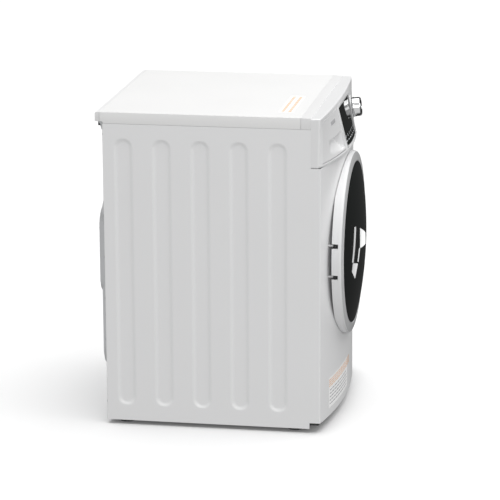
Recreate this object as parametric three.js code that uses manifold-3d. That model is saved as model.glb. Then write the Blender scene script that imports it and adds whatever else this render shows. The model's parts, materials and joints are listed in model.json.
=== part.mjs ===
// Front-loading washing machine, built as an assembly of separate solids.
// Millimetres, +Z up. The front faces -Y, and +X is on the right of somebody facing it.
// The origin is on the floor under the middle of the machine's bounding box.
// Depths are written from the plane of the cabinet's front corners: positive goes back into the machine.

import * as THREE from 'three';
import { mergeVertices } from 'three/addons/utils/BufferGeometryUtils.js';
import Module from 'manifold-3d';

const wasm = await Module();
wasm.setup();

// ---- driving dimensions ------------------------------------------------------------------

const WIDTH = 598;
const HEIGHT = 850;
const LID_REAR = 594;            // rear edge of the worktop, from the front corners
const DOME_APEX = -73;           // middle of the door glass, the foremost point
const FRONT = -(LID_REAR + DOME_APEX) / 2;   // Y of the front corners, so the box is centred
const HALF = WIDTH / 2;

const BODY_REAR = 575;
const SHEET = 1.5;               // sheet steel of the cabinet
const GAP = 0.4;                 // clearance between pieces that touch
const FLOOR_GAP = 12;            // under the side panels
const LID_THICK = 30;
const LID_BOTTOM = HEIGHT - LID_THICK;

const BOW = 28;                  // how far the front bulges at its middle
const BOW_TOP = 5;               // the same at the top edge of the control panel
const PANEL_BOTTOM = 718;        // lower edge of the control panel
const PANEL_TOP = 848;
const PANEL_DEPTH = 24.7;
const FRONT_BOTTOM = 28;         // lower edge of the front panel
const FRONT_RETURN = 27.6;       // how far the front panel wraps round the side

const RIB = { count: 5, first: 112, pitch: 102, width: 50, low: 54, high: 782, depth: 4, slope: 8 };

const DOOR_Z = 451.5;            // height of the door's and the drum's axis
const DOOR_RADIUS = 247;
const GLASS_RADIUS = 217.8;
const PORTHOLE = 205;
const DRUM_RADIUS = 243;
const DRUM_WALL = 1;
const DRUM_FRONT = 74;
const DRUM_REAR = 385;
const TUB_RADIUS = 272;
const TUB_WALL = 6;
const TUB_FRONT = 62;
const TUB_SPLIT = 110;
const TUB_REAR = 430;
const SHAFT_RADIUS = 15;
const BEARING_RADIUS = 31;
const PULLEY = { radius: 150, front: 474, width: 14 };
const MOTOR = { x: 70, z: 112, radius: 60, front: 330, rear: 468, pulley: 11 };
const BELT_THICK = 4;

const HINGE = { x: -237.5, depth: -31, z: 456, spacing: 84, pin: 3, barrel: 5.8, knuckle: 7 };
const DRAWER = { x0: -283, x1: -93, z0: 727.5, z1: 836.5, housing: 300, tray: 262 };
const DISPLAY = { x0: -70, x1: 130, z0: 728, z1: 836 };
const KNOB = { x: 165, z: 787, radius: 27, height: 24 };
const FILTER = { x0: 172, x1: 268, z0: 46, z1: 146, pumpX: 220, pumpZ: 96 };
const SPRING = { x: 170, depth: 350, low: 700, high: 786, coil: 11, wire: 2.4, turns: 6 };
const DAMPER = { x: 170, depth: 230, radius: 14, rod: 5 };
const FOOT = { x: 258, front: 72, rear: 528, radius: 22, pad: 11, stud: 5, top: 38 };
const ROUND = 24;                // sides of a large circle
const SMALL_ROUND = 12;          // sides of a small one

// ---- finishes ----------------------------------------------------------------------------

const finish = (color, roughness, metalness) => ({ color, roughness, metalness });
const FINISH = {
  enamel: finish(0xf2f3f3, 0.35, 0.0),
  plastic: finish(0xeeefef, 0.4, 0.0),
  innerPlastic: finish(0xc9ccce, 0.55, 0.0),
  steel: finish(0xb9bcc0, 0.35, 1.0),
  castIron: finish(0x5a5c5e, 0.7, 0.6),
  concrete: finish(0x9a9892, 0.9, 0.0),
  chrome: finish(0xdcdee0, 0.1, 1.0),
  darkGlass: finish(0x0b0c0d, 0.05, 0.0),
  clearGlass: finish(0xdfe8ea, 0.03, 0.0),
  rubber: finish(0x8f9294, 0.8, 0.0),
  blackRubber: finish(0x1b1b1c, 0.8, 0.0),
  blackPlastic: finish(0x121213, 0.45, 0.0),
};

// ---- solids ------------------------------------------------------------------------------

/** Six times the signed volume of an indexed mesh, positive when its faces point out. */
function signedVolume(position, index) {
  const a = new THREE.Vector3();
  const b = new THREE.Vector3();
  const c = new THREE.Vector3();
  let sum = 0;
  for (let i = 0; i < index.length; i += 3) {
    a.fromArray(position, index[i] * 3);
    b.fromArray(position, index[i + 1] * 3);
    c.fromArray(position, index[i + 2] * 3);
    sum += a.dot(b.cross(c));
  }
  return sum;
}

/** A closed three.js geometry as a solid: shared points merged, empty triangles dropped, faces out. */
function solid(geometry) {
  const bare = geometry.clone();
  bare.deleteAttribute('normal');
  bare.deleteAttribute('uv');
  const merged = mergeVertices(bare, 1e-3);
  const position = merged.getAttribute('position').array;
  const source = merged.getIndex().array;
  const index = [];
  for (let i = 0; i < source.length; i += 3) {
    const [a, b, c] = [source[i], source[i + 1], source[i + 2]];
    if (a !== b && b !== c && c !== a) index.push(a, b, c);
  }
  if (signedVolume(position, index) < 0) index.reverse();
  return new wasm.Manifold(new wasm.Mesh({
    numProp: 3,
    vertProperties: new Float32Array(position),
    triVerts: new Uint32Array(index),
  }));
}

/** The solid as a three.js geometry again. */
function geometryOf(manifold) {
  const mesh = manifold.getMesh();
  const geometry = new THREE.BufferGeometry();
  geometry.setAttribute('position', new THREE.BufferAttribute(new Float32Array(mesh.vertProperties), 3));
  geometry.setIndex(new THREE.BufferAttribute(new Uint32Array(mesh.triVerts), 1));
  return geometry;
}

const join = (first, ...others) => others.reduce((sum, other) => sum.add(other), first);
const cut = (first, ...others) => others.reduce((rest, other) => rest.subtract(other), first);

/** A block between two X, two depths and two heights. */
function block(x0, x1, d0, d1, z0, z1) {
  const geometry = new THREE.BoxGeometry(x1 - x0, d1 - d0, z1 - z0);
  geometry.translate((x0 + x1) / 2, FRONT + (d0 + d1) / 2, (z0 + z1) / 2);
  return solid(geometry);
}

/** A profile of [radius, depth] points turned about a line along Y. */
function turned(profile, sides = ROUND, x = 0, z = DOOR_Z) {
  const points = profile.map(([radius, depth]) => new THREE.Vector2(radius, FRONT + depth));
  const closesOnAxis = profile[0][0] === 0 && profile[profile.length - 1][0] === 0;
  if (!closesOnAxis) points.push(points[0].clone());
  const geometry = new THREE.LatheGeometry(points, sides);
  geometry.translate(x, 0, z);
  return solid(geometry);
}

/** A plain ring or, with no inner radius, a disc, between two depths. */
function ring(inner, outer, d0, d1, sides = ROUND, x = 0, z = DOOR_Z) {
  return turned([[inner, d0], [outer, d0], [outer, d1], [inner, d1]], sides, x, z);
}

/** An upright cylinder between two heights. */
function post(radius, x, depth, z0, z1, sides = SMALL_ROUND) {
  const geometry = new THREE.CylinderGeometry(radius, radius, z1 - z0, sides);
  geometry.rotateX(Math.PI / 2);
  geometry.translate(x, FRONT + depth, (z0 + z1) / 2);
  return solid(geometry);
}

/** An outline drawn in X and Z, carried along Y. */
function plateXZ(shape, d0, d1, curveSegments = 3) {
  const geometry = new THREE.ExtrudeGeometry(shape, { depth: d1 - d0, bevelEnabled: false, curveSegments });
  geometry.rotateX(Math.PI / 2);
  geometry.translate(0, FRONT + d1, 0);
  return solid(geometry);
}

/** A round tube along a smooth curve through [x, depth, z] points. */
function pipe(route, radius, steps, sides = 10) {
  const points = route.map(([x, depth, z]) => new THREE.Vector3(x, FRONT + depth, z));
  const section = new THREE.Shape();
  section.absarc(0, 0, radius, 0, Math.PI * 2);
  const geometry = new THREE.ExtrudeGeometry(section, {
    extrudePath: new THREE.CatmullRomCurve3(points, false, 'centripetal'),
    steps,
    curveSegments: sides / 2,   // an arc is drawn with two sides for each of these
  });
  return solid(geometry);
}

/** A rectangle with round corners, in X and Z. */
function roundedRectangle(x0, x1, z0, z1, r) {
  const shape = new THREE.Shape();
  shape.absarc(x1 - r, z1 - r, r, 0, Math.PI / 2);
  shape.absarc(x0 + r, z1 - r, r, Math.PI / 2, Math.PI);
  shape.absarc(x0 + r, z0 + r, r, Math.PI, Math.PI * 1.5);
  shape.absarc(x1 - r, z0 + r, r, Math.PI * 1.5, Math.PI * 2);
  shape.closePath();
  return shape;
}

// ---- the bowed front ---------------------------------------------------------------------

/** Depth of the bowed front at x, for a bulge of sag at the middle. */
const bowAt = (x, sag) => -sag * (1 - (x / HALF) ** 2);

/** The control panel's bulge at height z: it grows evenly from the top edge to the lower edge. */
function panelSag(z) {
  const share = THREE.MathUtils.clamp((PANEL_TOP - z) / (PANEL_TOP - PANEL_BOTTOM), 0, 1);
  return BOW_TOP + (BOW - BOW_TOP) * share;
}

/** A slab whose front face follows the bowed front, moved back by inset, and whose rear face is flat. */
function bowedSlab(x0, x1, z0, z1, inset, rear, columns = 16) {
  const geometry = new THREE.BoxGeometry(x1 - x0, 2, z1 - z0, columns, 1, 2);
  geometry.translate((x0 + x1) / 2, 0, (z0 + z1) / 2);
  const position = geometry.getAttribute('position');
  for (let i = 0; i < position.count; i += 1) {
    const isFront = position.getY(i) < 0;
    const depth = isFront ? bowAt(position.getX(i), panelSag(position.getZ(i))) + inset : rear;
    position.setY(i, FRONT + depth);
  }
  return solid(geometry);
}

/** A curved sheet of the bowed front, of even thickness. */
function bowedSheet(x0, x1, z0, z1, inset, thick, columns = 16) {
  const whole = bowedSlab(x0, x1, z0, z1, inset, 60, columns);
  const behind = bowedSlab(x0 - 1, x1 + 1, z0 - 1, z1 + 1, inset + thick, 70, columns);
  return whole.subtract(behind);
}

// ---- the assembly ------------------------------------------------------------------------

const machine = new THREE.Group();

function add(name, body, look) {
  const mesh = new THREE.Mesh(geometryOf(body), new THREE.MeshStandardMaterial(FINISH[look]));
  mesh.name = name;
  machine.add(mesh);
}

/** One pressed channel with round ends, as a tapered block, sunk from the outside of a side panel. */
function channel(depth, width, low, high, slope, sink) {
  const r = width / 2;
  const shape = new THREE.Shape();
  shape.absarc(depth, high - r, r, 0, Math.PI);
  shape.absarc(depth, low + r, r, Math.PI, Math.PI * 2);
  shape.closePath();
  const geometry = new THREE.ExtrudeGeometry(shape, {
    depth: 1,
    bevelThickness: sink,
    bevelSize: slope,
    bevelOffset: -slope,
    bevelSegments: 1,
    curveSegments: 3,
  });
  // the drawing's X runs along the depth, its Y up, and its thickness along +X
  geometry.applyMatrix4(new THREE.Matrix4().makeBasis(
    new THREE.Vector3(0, 1, 0),
    new THREE.Vector3(0, 0, 1),
    new THREE.Vector3(1, 0, 0),
  ));
  return geometry;
}

/** Side panel of sheet steel with five pressed channels and flanges at the rear and along the floor. */
function sidePanel(side) {
  const outer = side * HALF;
  const inner = side * (HALF - SHEET);
  const flange = side * (HALF - 22);
  const spanX = (a, b) => [Math.min(a, b), Math.max(a, b)];
  const front = FRONT_RETURN + GAP;
  let panel = block(...spanX(outer, inner), front, BODY_REAR, FLOOR_GAP, PANEL_BOTTOM + 1);
  const upper = block(
    ...spanX(outer, inner), PANEL_DEPTH + GAP, BODY_REAR, PANEL_BOTTOM, LID_BOTTOM - GAP,
  );
  const rear = block(...spanX(outer, flange), BODY_REAR - SHEET, BODY_REAR, FLOOR_GAP, LID_BOTTOM - GAP);
  panel = join(panel, upper, rear);
  for (let k = 0; k < RIB.count; k += 1) {
    const depth = RIB.first + k * RIB.pitch;
    const bump = channel(depth, RIB.width, RIB.low, RIB.high, RIB.slope, RIB.depth);
    const dent = channel(depth, RIB.width, RIB.low, RIB.high, RIB.slope, RIB.depth);
    // the bump stands inside the sheet and the dent is cut from outside, one sheet thickness apart
    bump.scale(side, 1, 1);
    dent.scale(side, 1, 1);
    const middle = 0.5 * side;
    bump.translate(inner - middle, FRONT, 0);
    dent.translate(outer - middle, FRONT, 0);
    panel = panel.add(solid(bump)).subtract(solid(dent));
  }
  return panel;
}

/** Flat rear panel with openings for the service cover, the water valve, the mains lead and the drain. */
function rearPanel() {
  const rear = BODY_REAR - SHEET - GAP;
  const half = HALF - SHEET - 1;
  const plate = block(-half, half, rear - SHEET, rear, FLOOR_GAP + 4, LID_BOTTOM - GAP);
  const opening = plateXZ(roundedRectangle(-225, 225, 175, 590, 60), rear - 10, rear + 10);
  const openings = [
    opening,
    ring(0, 15, rear - 10, rear + 10, SMALL_ROUND, -175, 760),
    ring(0, 13, rear - 10, rear + 10, SMALL_ROUND, 205, 770),
    ring(0, 14, rear - 10, rear + 10, SMALL_ROUND, 245, 660),
  ];
  return cut(plate, ...openings);
}

/** Pressed cover over the belt: a rim, a raised field and a taller round boss in its upper half. */
function serviceCover() {
  const start = BODY_REAR + GAP;
  const rim = plateXZ(roundedRectangle(-290, 290, 140, 618, 60), start, start + SHEET);
  const field = plateXZ(roundedRectangle(-285, 285, 146, 612, 56), start, start + 12);
  const boss = plateXZ(roundedRectangle(-283, 283, 345, 590, 50), start, LID_REAR - 0.5);
  const hollow = plateXZ(roundedRectangle(-283, 283, 148, 610, 54), start - 1, start + 12 - SHEET);
  const bossHollow = plateXZ(roundedRectangle(-281, 281, 347, 588, 48), start - 1, LID_REAR - 0.5 - SHEET);
  return cut(join(rim, field, boss), hollow, bossHollow);
}

/** Tray that closes the bottom of the cabinet and carries the feet, the dampers and the pump. */
function basePan() {
  const half = HALF - SHEET - 1.5;
  const outer = block(-half, half, 30, 569, 14, 42);
  const inner = block(-half + 2.5, half - 2.5, 32.5, 566.5, 16.5, 50);
  const holes = footPlaces().map(([, x, depth]) => post(FOOT.stud + 0.5, x, depth, 10, 20));
  return cut(outer, inner, ...holes);
}

/** Bowed front panel with side returns, the porthole's neck, the filter opening and hinge slots. */
function frontPanel() {
  const top = PANEL_BOTTOM - GAP;
  const skin = bowedSheet(-HALF, HALF, FRONT_BOTTOM, top, 0, SHEET);
  const returns = [-1, 1].map((side) => {
    const [a, b] = [side * HALF, side * (HALF - SHEET)].sort((p, q) => p - q);
    return block(a, b, 0.6, FRONT_RETURN, FRONT_BOTTOM, top);
  });
  const neckRing = ring(PORTHOLE - 4, PORTHOLE, -BOW, -5);
  const neck = neckRing.intersect(bowedSlab(-HALF, HALF, FRONT_BOTTOM, top, 0.3, 60));
  const seat = ring(186, PORTHOLE, -7, -5);
  const hole = ring(0, PORTHOLE - 4, -60, -7.2);
  const slots = hingeHeights().map((z) => block(-240, -224, -40, 5, z - 9, z + 9));
  const latchSlot = block(212, 232, -40, 5, DOOR_Z - 22, DOOR_Z + 22);
  const filterHole = block(FILTER.x0, FILTER.x1, -60, 20, FILTER.z0, FILTER.z1);
  return cut(join(cut(join(skin, ...returns), hole), neck, seat), ...slots, latchSlot, filterHole);
}

/** Worktop: a board with a gently sloping front band and a lifted rear overhang. */
function worktop() {
  const outline = new THREE.Shape();
  const front = PANEL_DEPTH + GAP;
  outline.moveTo(front, LID_BOTTOM);
  outline.lineTo(BODY_REAR - 4, LID_BOTTOM);
  outline.lineTo(BODY_REAR + 1, LID_BOTTOM + 5.5);
  outline.lineTo(LID_REAR, LID_BOTTOM + 5.5);
  outline.lineTo(LID_REAR, HEIGHT - 3);
  outline.lineTo(LID_REAR - 3, HEIGHT);
  outline.lineTo(52, HEIGHT);
  outline.lineTo(front, HEIGHT - 1);
  outline.closePath();
  const geometry = new THREE.ExtrudeGeometry(outline, { depth: WIDTH, bevelEnabled: false });
  geometry.applyMatrix4(new THREE.Matrix4().makeBasis(
    new THREE.Vector3(0, 1, 0),
    new THREE.Vector3(0, 0, 1),
    new THREE.Vector3(1, 0, 0),
  ));
  geometry.translate(-HALF, FRONT, 0);
  return solid(geometry);
}

/** Steel channel that ties the side panels together under the worktop and carries the tub springs. */
function topCrossbar() {
  const half = HALF - SHEET - GAP;
  const beam = block(-half, half, SPRING.depth - 16, SPRING.depth + 16, 796, LID_BOTTOM - 2);
  return cut(beam, block(-half - 1, half + 1, SPRING.depth - 14, SPRING.depth + 14, 798, LID_BOTTOM));
}

/** Control panel shell, open at the back, with openings for the drawer, the display and the knob. */
function controlPanel() {
  const wall = 2.5;
  const shell = bowedSlab(-HALF, HALF, PANEL_BOTTOM, PANEL_TOP, 0, PANEL_DEPTH);
  const inside = bowedSlab(
    -HALF + wall, HALF - wall, PANEL_BOTTOM + wall, PANEL_TOP - wall, wall, PANEL_DEPTH + 5,
  );
  const drawerHole = block(DRAWER.x0 - 1, DRAWER.x1 + 1, -60, 60, DRAWER.z0 - 1, DRAWER.z1 + 1);
  const displayHole = block(
    DISPLAY.x0 - GAP, DISPLAY.x1 + GAP, -60, 20, DISPLAY.z0 - GAP, DISPLAY.z1 + GAP,
  );
  return cut(shell, inside, drawerHole, displayHole, knobStub(6, -20, 20));
}

/** A cylinder on the knob's axis, from one height above the panel's face to another. */
function knobStub(radius, from, to, sides = 32) {
  const geometry = new THREE.CylinderGeometry(radius, radius, to - from, sides);
  geometry.translate(0, (from + to) / 2, 0);
  return solid(placeOnKnobAxis(geometry));
}

/** Turn a geometry whose axis is +Y onto the knob's axis, square to the panel where the knob sits. */
function placeOnKnobAxis(geometry) {
  const sag = panelSag(KNOB.z);
  const slopeX = (sag * 2 * KNOB.x) / HALF ** 2;
  const slopeZ = ((BOW - BOW_TOP) / (PANEL_TOP - PANEL_BOTTOM)) * (1 - (KNOB.x / HALF) ** 2);
  const axis = new THREE.Vector3(slopeX, -1, slopeZ).normalize();
  geometry.applyQuaternion(new THREE.Quaternion().setFromUnitVectors(new THREE.Vector3(0, 1, 0), axis));
  geometry.translate(KNOB.x, FRONT + bowAt(KNOB.x, sag), KNOB.z);
  return geometry;
}

/** Round program knob with a shaft that runs back into the panel. */
function programKnob() {
  return join(knobStub(KNOB.radius, 3.2, KNOB.height + 3), knobStub(5, -12, 4));
}

/** Front of the detergent drawer: the panel's own curve, with a sloping finger scoop at its foot. */
function drawerFront() {
  const face = bowedSlab(DRAWER.x0, DRAWER.x1, DRAWER.z0, DRAWER.z1, 0, 12, 8);
  const scoop = new THREE.Shape();
  scoop.moveTo(-60, 776);
  scoop.lineTo(4, 776);
  scoop.lineTo(4, 764);
  scoop.lineTo(-23, 732);
  scoop.lineTo(-60, 732);
  scoop.closePath();
  const geometry = new THREE.ExtrudeGeometry(scoop, { depth: 126, bevelEnabled: false });
  geometry.applyMatrix4(new THREE.Matrix4().makeBasis(
    new THREE.Vector3(0, 1, 0),
    new THREE.Vector3(0, 0, 1),
    new THREE.Vector3(1, 0, 0),
  ));
  geometry.translate(-226, FRONT, 0);
  return face.subtract(solid(geometry));
}

/** Detergent tray with three compartments. */
function drawerTray() {
  const [x0, x1, z0, z1] = [DRAWER.x0 + 5, DRAWER.x1 - 5, 734, 806];
  const front = 12 + GAP;
  const wall = 2.5;
  const left = x0 + (x1 - x0) * 0.36;
  const right = x0 + (x1 - x0) * 0.68;
  const pockets = [[x0 + wall, left], [left + wall, right], [right + wall, x1 - wall]];
  const hollows = pockets.map(([a, b]) => block(a, b, front + wall, DRAWER.tray - wall, z0 + wall, z1 + 5));
  return cut(block(x0, x1, front, DRAWER.tray, z0, z1), ...hollows);
}

/** Box that holds the detergent tray and feeds water through it. */
function drawerHousing() {
  const outer = block(DRAWER.x0 + 1, DRAWER.x1 - 1, 26, DRAWER.housing, 728, 817);
  return cut(outer, block(DRAWER.x0 + 3.5, DRAWER.x1 - 3.5, 20, DRAWER.housing - 3, 731, 814));
}

const hingeHeights = () => [HINGE.z - HINGE.spacing / 2, HINGE.z + HINGE.spacing / 2];

/** Steel bracket behind the front panel with two black knuckles that carry the hinge pin. */
function hingeBracket() {
  const plate = block(-242, -222, -1, 2, HINGE.z - 62, HINGE.z + 62);
  const knuckles = hingeHeights().map((z) => join(
    post(HINGE.barrel, HINGE.x, HINGE.depth, z - HINGE.knuckle, z + HINGE.knuckle, ROUND),
    block(HINGE.x, -226, HINGE.depth, 0, z - HINGE.knuckle, z + HINGE.knuckle),
  ));
  const bore = post(HINGE.pin + GAP, HINGE.x, HINGE.depth, HINGE.z - 80, HINGE.z + 80);
  return cut(join(plate, ...knuckles), bore);
}

/** Door arm: a block that turns on the pin between the knuckles and reaches the inner ring. */
function hingeArm() {
  const half = HINGE.spacing / 2 - HINGE.knuckle - 0.6;
  const arm = join(
    block(HINGE.x, -205, -36.8, -31.4, HINGE.z - half, HINGE.z + half),
    post(5, HINGE.x, HINGE.depth, HINGE.z - half, HINGE.z + half),
  );
  const bore = post(HINGE.pin + GAP, HINGE.x, HINGE.depth, HINGE.z - 80, HINGE.z + 80);
  return cut(arm, bore);
}

/** Outer door frame: a ring with a forward lip; its rear edge follows the bowed front. */
function doorRing() {
  const R = DOOR_RADIUS;
  const body = turned([
    [R, -18], [R, -44], [R - 2.5, -47.5], [221, -51], [218.5, -49.5],
    [218.5, -46.5], [R - 6, -43], [R - 3, -40], [R - 3, -18],
  ], 44);
  const panel = bowedSlab(-HALF, HALF, DOOR_Z - 260, DOOR_Z + 260, -1.6, 80);
  const behind = block(-260, 260, -22, 40, DOOR_Z - 260, DOOR_Z + 260);
  const slot = HINGE.knuckle + 0.6;
  const slots = hingeHeights().map((z) => block(-260, -220, -38.6, 0, z - slot, z + slot));
  const arm = block(-244.3, -220, -37.6, 0, HINGE.z - 36, HINGE.z + 36);
  return cut(body, panel, behind, ...slots, arm);
}

/** Inner door frame: carries the glass bowl, the hinge arm and the latch hook. */
function doorInnerRing() {
  const plate = ring(160, 238, -42, -37.4, 32);
  const neck = ring(168, 184, -38, -10.1, 32);
  return plate.add(neck);
}

/** Dark outer glass, a shallow dome. */
function doorGlassCover() {
  const rise = -51 - DOME_APEX;
  const sphere = (GLASS_RADIUS ** 2 + rise ** 2) / (2 * rise);
  const dome = (radius, offset) => [
    radius, -51 - Math.sqrt(sphere ** 2 - radius ** 2) + (sphere - rise) + offset,
  ];
  const radii = [0, 75, 135, 185, GLASS_RADIUS];
  const outside = radii.map((radius) => dome(radius, 0));
  const inside = radii.map((radius) => dome(radius, 3.5)).reverse();
  return turned([...outside, ...inside], 36);
}

/** Clear bowl that keeps the wash load inside the drum. */
function doorBowl() {
  return turned([
    [0, 100], [112, 92], [136, 80], [158.5, -3.9], [183, -3.9],
    [183, -9.7], [153.5, -9.7], [131.5, 76.5], [109, 87], [0, 95],
  ], 32);
}

/** Hook on the door that the lock catches. */
function latchHook() {
  const stem = block(219, 225, -36.8, 8, DOOR_Z - 10, DOOR_Z + 10);
  return stem.add(block(216, 221, 2, 8, DOOR_Z - 10, DOOR_Z + 10));
}

/** Electric lock behind the front panel, with a mouth for the hook. */
function doorLock() {
  const body = block(206, 248, -4, 30, DOOR_Z - 45, DOOR_Z + 45);
  return cut(body, block(210, 234, -10, 14, DOOR_Z - 16, DOOR_Z + 16));
}

/** Rubber bellows between the porthole and the tub. */
function doorSeal() {
  return turned([
    [160.5, -3.2], [198, -3.2], [198, 34], [181.5, 34], [181.5, 49], [190.2, 49], [190.2, 52],
    [178, 52], [178, 31], [194, 31], [194, 0], [164, 0], [164, 9], [160.5, 9],
  ]);
}

/** Front half of the plastic tub. */
function tubFront() {
  const rear = TUB_SPLIT - GAP;
  return turned([
    [190.6, 46], [196, 46], [196, TUB_FRONT], [TUB_RADIUS, TUB_FRONT], [TUB_RADIUS, rear],
    [TUB_RADIUS - TUB_WALL, rear], [TUB_RADIUS - TUB_WALL, TUB_FRONT + 4], [190.6, TUB_FRONT + 4],
  ]);
}

/** Rear half of the tub with the bearing hub, the spring ears and the damper feet. */
function tubRear() {
  const drumShell = ring(TUB_RADIUS - TUB_WALL, TUB_RADIUS, TUB_SPLIT, TUB_REAR);
  const wall = ring(BEARING_RADIUS + GAP, TUB_RADIUS, TUB_REAR - 6, TUB_REAR);
  const hub = ring(BEARING_RADIUS + GAP, 50, 410, 466);
  const core = ring(0, TUB_RADIUS - 2, 60, TUB_REAR - 3);
  const ears = [-1, 1].map((side) => {
    const x = side * SPRING.x;
    return block(x - 10, x + 10, SPRING.depth - 6, SPRING.depth + 6, 640, 692).subtract(core);
  });
  const feet = [-1, 1].map((side) => {
    const x = side * DAMPER.x;
    return block(x - 12, x + 12, DAMPER.depth - 12, DAMPER.depth + 12, 226, 260).subtract(core);
  });
  const heaterHole = block(-36, 36, TUB_REAR - 10, TUB_REAR + 5, 189, 209);
  return cut(join(drumShell, wall, hub, ...ears, ...feet), heaterHole);
}

/** Cast weight round the upper front of the tub. */
function frontCounterweight() {
  const whole = ring(203, 264, 38, TUB_FRONT - GAP);
  const below = block(-300, 300, 0, 100, 0, DOOR_Z - 90);
  return cut(whole, below, block(196, 262, 0, 60, DOOR_Z - 60, DOOR_Z + 60));
}

/** Cast block bolted on top of the tub. */
function topCounterweight() {
  const body = block(-78, 130, 150, 320, 690, 772);
  return body.subtract(ring(0, TUB_RADIUS + GAP, 140, 330));
}

/** Drive motor hung under the tub. */
function motor() {
  const can = turned([
    [0, MOTOR.front], [48, MOTOR.front], [MOTOR.radius, MOTOR.front + 12],
    [MOTOR.radius, MOTOR.rear - 12], [46, MOTOR.rear], [0, MOTOR.rear],
  ], 28, MOTOR.x, MOTOR.z);
  const ears = [MOTOR.front + 22, MOTOR.rear - 46].map((depth) => (
    block(MOTOR.x - 45, MOTOR.x + 45, depth, depth + 16, MOTOR.z + 30, 205)
  ));
  return join(can, ...ears).subtract(ring(0, TUB_RADIUS + GAP, 300, 480));
}

/** Small ribbed pulley on the motor shaft. */
function motorPulley() {
  const rear = PULLEY.front + PULLEY.width;
  const wheel = ring(0, MOTOR.pulley, PULLEY.front, rear, 24, MOTOR.x, MOTOR.z);
  return wheel.add(ring(0, 6, MOTOR.rear + GAP, rear, SMALL_ROUND, MOTOR.x, MOTOR.z));
}

/** Large pulley: rim, thin web and hub. */
function drumPulley() {
  const { radius, front, width } = PULLEY;
  return turned([
    [SHAFT_RADIUS + GAP, front - 3], [28, front - 3], [28, front + 5], [radius - 8, front + 5],
    [radius - 8, front], [radius, front], [radius, front + width], [radius - 8, front + width],
    [radius - 8, front + 9], [28, front + 9], [28, front + width + 2], [SHAFT_RADIUS + GAP, front + width + 2],
  ]);
}

/** Outline of a belt's one face round both pulleys, offset outwards by off. */
function beltOutline(off, Outline) {
  const big = PULLEY.radius + off;
  const small = MOTOR.pulley + off;
  const run = Math.hypot(MOTOR.x, DOOR_Z - MOTOR.z);
  const towards = Math.atan2(MOTOR.z - DOOR_Z, MOTOR.x);
  const lean = Math.acos((big - small) / run);
  const outline = new Outline();
  outline.absarc(0, DOOR_Z, big, towards + lean, towards - lean + Math.PI * 2);
  outline.absarc(MOTOR.x, MOTOR.z, small, towards - lean, towards + lean);
  outline.closePath();
  return outline;
}

/** Belt between the drum pulley and the motor pulley. */
function driveBelt() {
  const outline = beltOutline(0.8 + BELT_THICK, THREE.Shape);
  outline.holes.push(beltOutline(0.8, THREE.Path));
  return plateXZ(outline, PULLEY.front + 1, PULLEY.front + PULLEY.width - 1, 14);
}

/** Heating element: a loop of tube low in the tub, on a plug through the tub's rear wall. */
function heater() {
  const z = DOOR_Z - 254.5;
  const loop = pipe([[-22, 425, z], [-22, 300, z], [-22, 170, z], [0, 146, z], [22, 170, z], [22, 300, z],
    [22, 425, z]], 3.6, 18, 6);
  return loop.add(block(-34, 34, TUB_REAR - 9, TUB_REAR + 14, 191, 207));
}

/** Ball bearing, drawn as one ring. */
const bearing = (d0) => ring(SHAFT_RADIUS + GAP, BEARING_RADIUS, d0, d0 + 16, 28);

/** Stainless drum: front lip, wall and rear. */
function drumShell() {
  const R = DRUM_RADIUS;
  return turned([
    [0, DRUM_REAR], [R, DRUM_REAR], [R, DRUM_FRONT + 6], [R - 6, DRUM_FRONT], [182, DRUM_FRONT],
    [172, DRUM_FRONT + 10], [173.2, DRUM_FRONT + 11], [182.5, DRUM_FRONT + DRUM_WALL],
    [R - 6.6, DRUM_FRONT + DRUM_WALL], [R - DRUM_WALL, DRUM_FRONT + 6.6],
    [R - DRUM_WALL, DRUM_REAR - DRUM_WALL], [0, DRUM_REAR - DRUM_WALL],
  ]);
}

/** Paddle that lifts the load, at one of three angles round the drum. */
function lifter(angle) {
  const profile = new THREE.Shape();
  profile.moveTo(-34, -DRUM_RADIUS + 7);
  profile.lineTo(34, -DRUM_RADIUS + 7);
  profile.quadraticCurveTo(15, -DRUM_RADIUS + 20, 9, -DRUM_RADIUS + 50);
  profile.quadraticCurveTo(0, -DRUM_RADIUS + 58, -9, -DRUM_RADIUS + 50);
  profile.quadraticCurveTo(-15, -DRUM_RADIUS + 20, -34, -DRUM_RADIUS + 7);
  const length = 250;
  const geometry = new THREE.ExtrudeGeometry(profile, { depth: length, bevelEnabled: false, curveSegments: 4 });
  geometry.rotateX(Math.PI / 2);
  geometry.rotateY(angle);
  geometry.translate(0, FRONT + 105 + length, DOOR_Z);
  return solid(geometry);
}

/** Three-armed casting behind the drum, with the drum shaft. */
function drumSpider() {
  const front = DRUM_REAR + GAP;
  const rear = DRUM_REAR + 17;
  const arms = [0, 1, 2].map((k) => {
    const geometry = new THREE.BoxGeometry(46, rear - front, 222);
    geometry.translate(0, 0, 111);
    geometry.rotateY((k * Math.PI * 2) / 3 + Math.PI / 3);
    geometry.translate(0, FRONT + (front + rear) / 2, DOOR_Z);
    return solid(geometry);
  });
  const hub = turned([[0, front], [44, front], [44, rear], [24, 408], [SHAFT_RADIUS, 408],
    [SHAFT_RADIUS, 494], [0, 494]]);
  return join(hub, ...arms);
}

/** Coil spring with straight ends, hung between the crossbar and the tub's ear. */
function tubSpring(side) {
  const x = side * SPRING.x;
  const { depth, low, high, coil, turns } = SPRING;
  const route = [[x, depth, 692.6], [x, depth, low - 4]];
  const perTurn = 8;
  for (let i = 0; i <= turns * perTurn; i += 1) {
    const angle = (i / perTurn) * Math.PI * 2;
    const z = low + ((high - low) * i) / (turns * perTurn);
    route.push([x + coil * Math.cos(angle), depth + coil * Math.sin(angle), z]);
  }
  route.push([x, depth, high + 5], [x, depth, 795.5]);
  return pipe(route, SPRING.wire, 58, 6);
}

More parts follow.
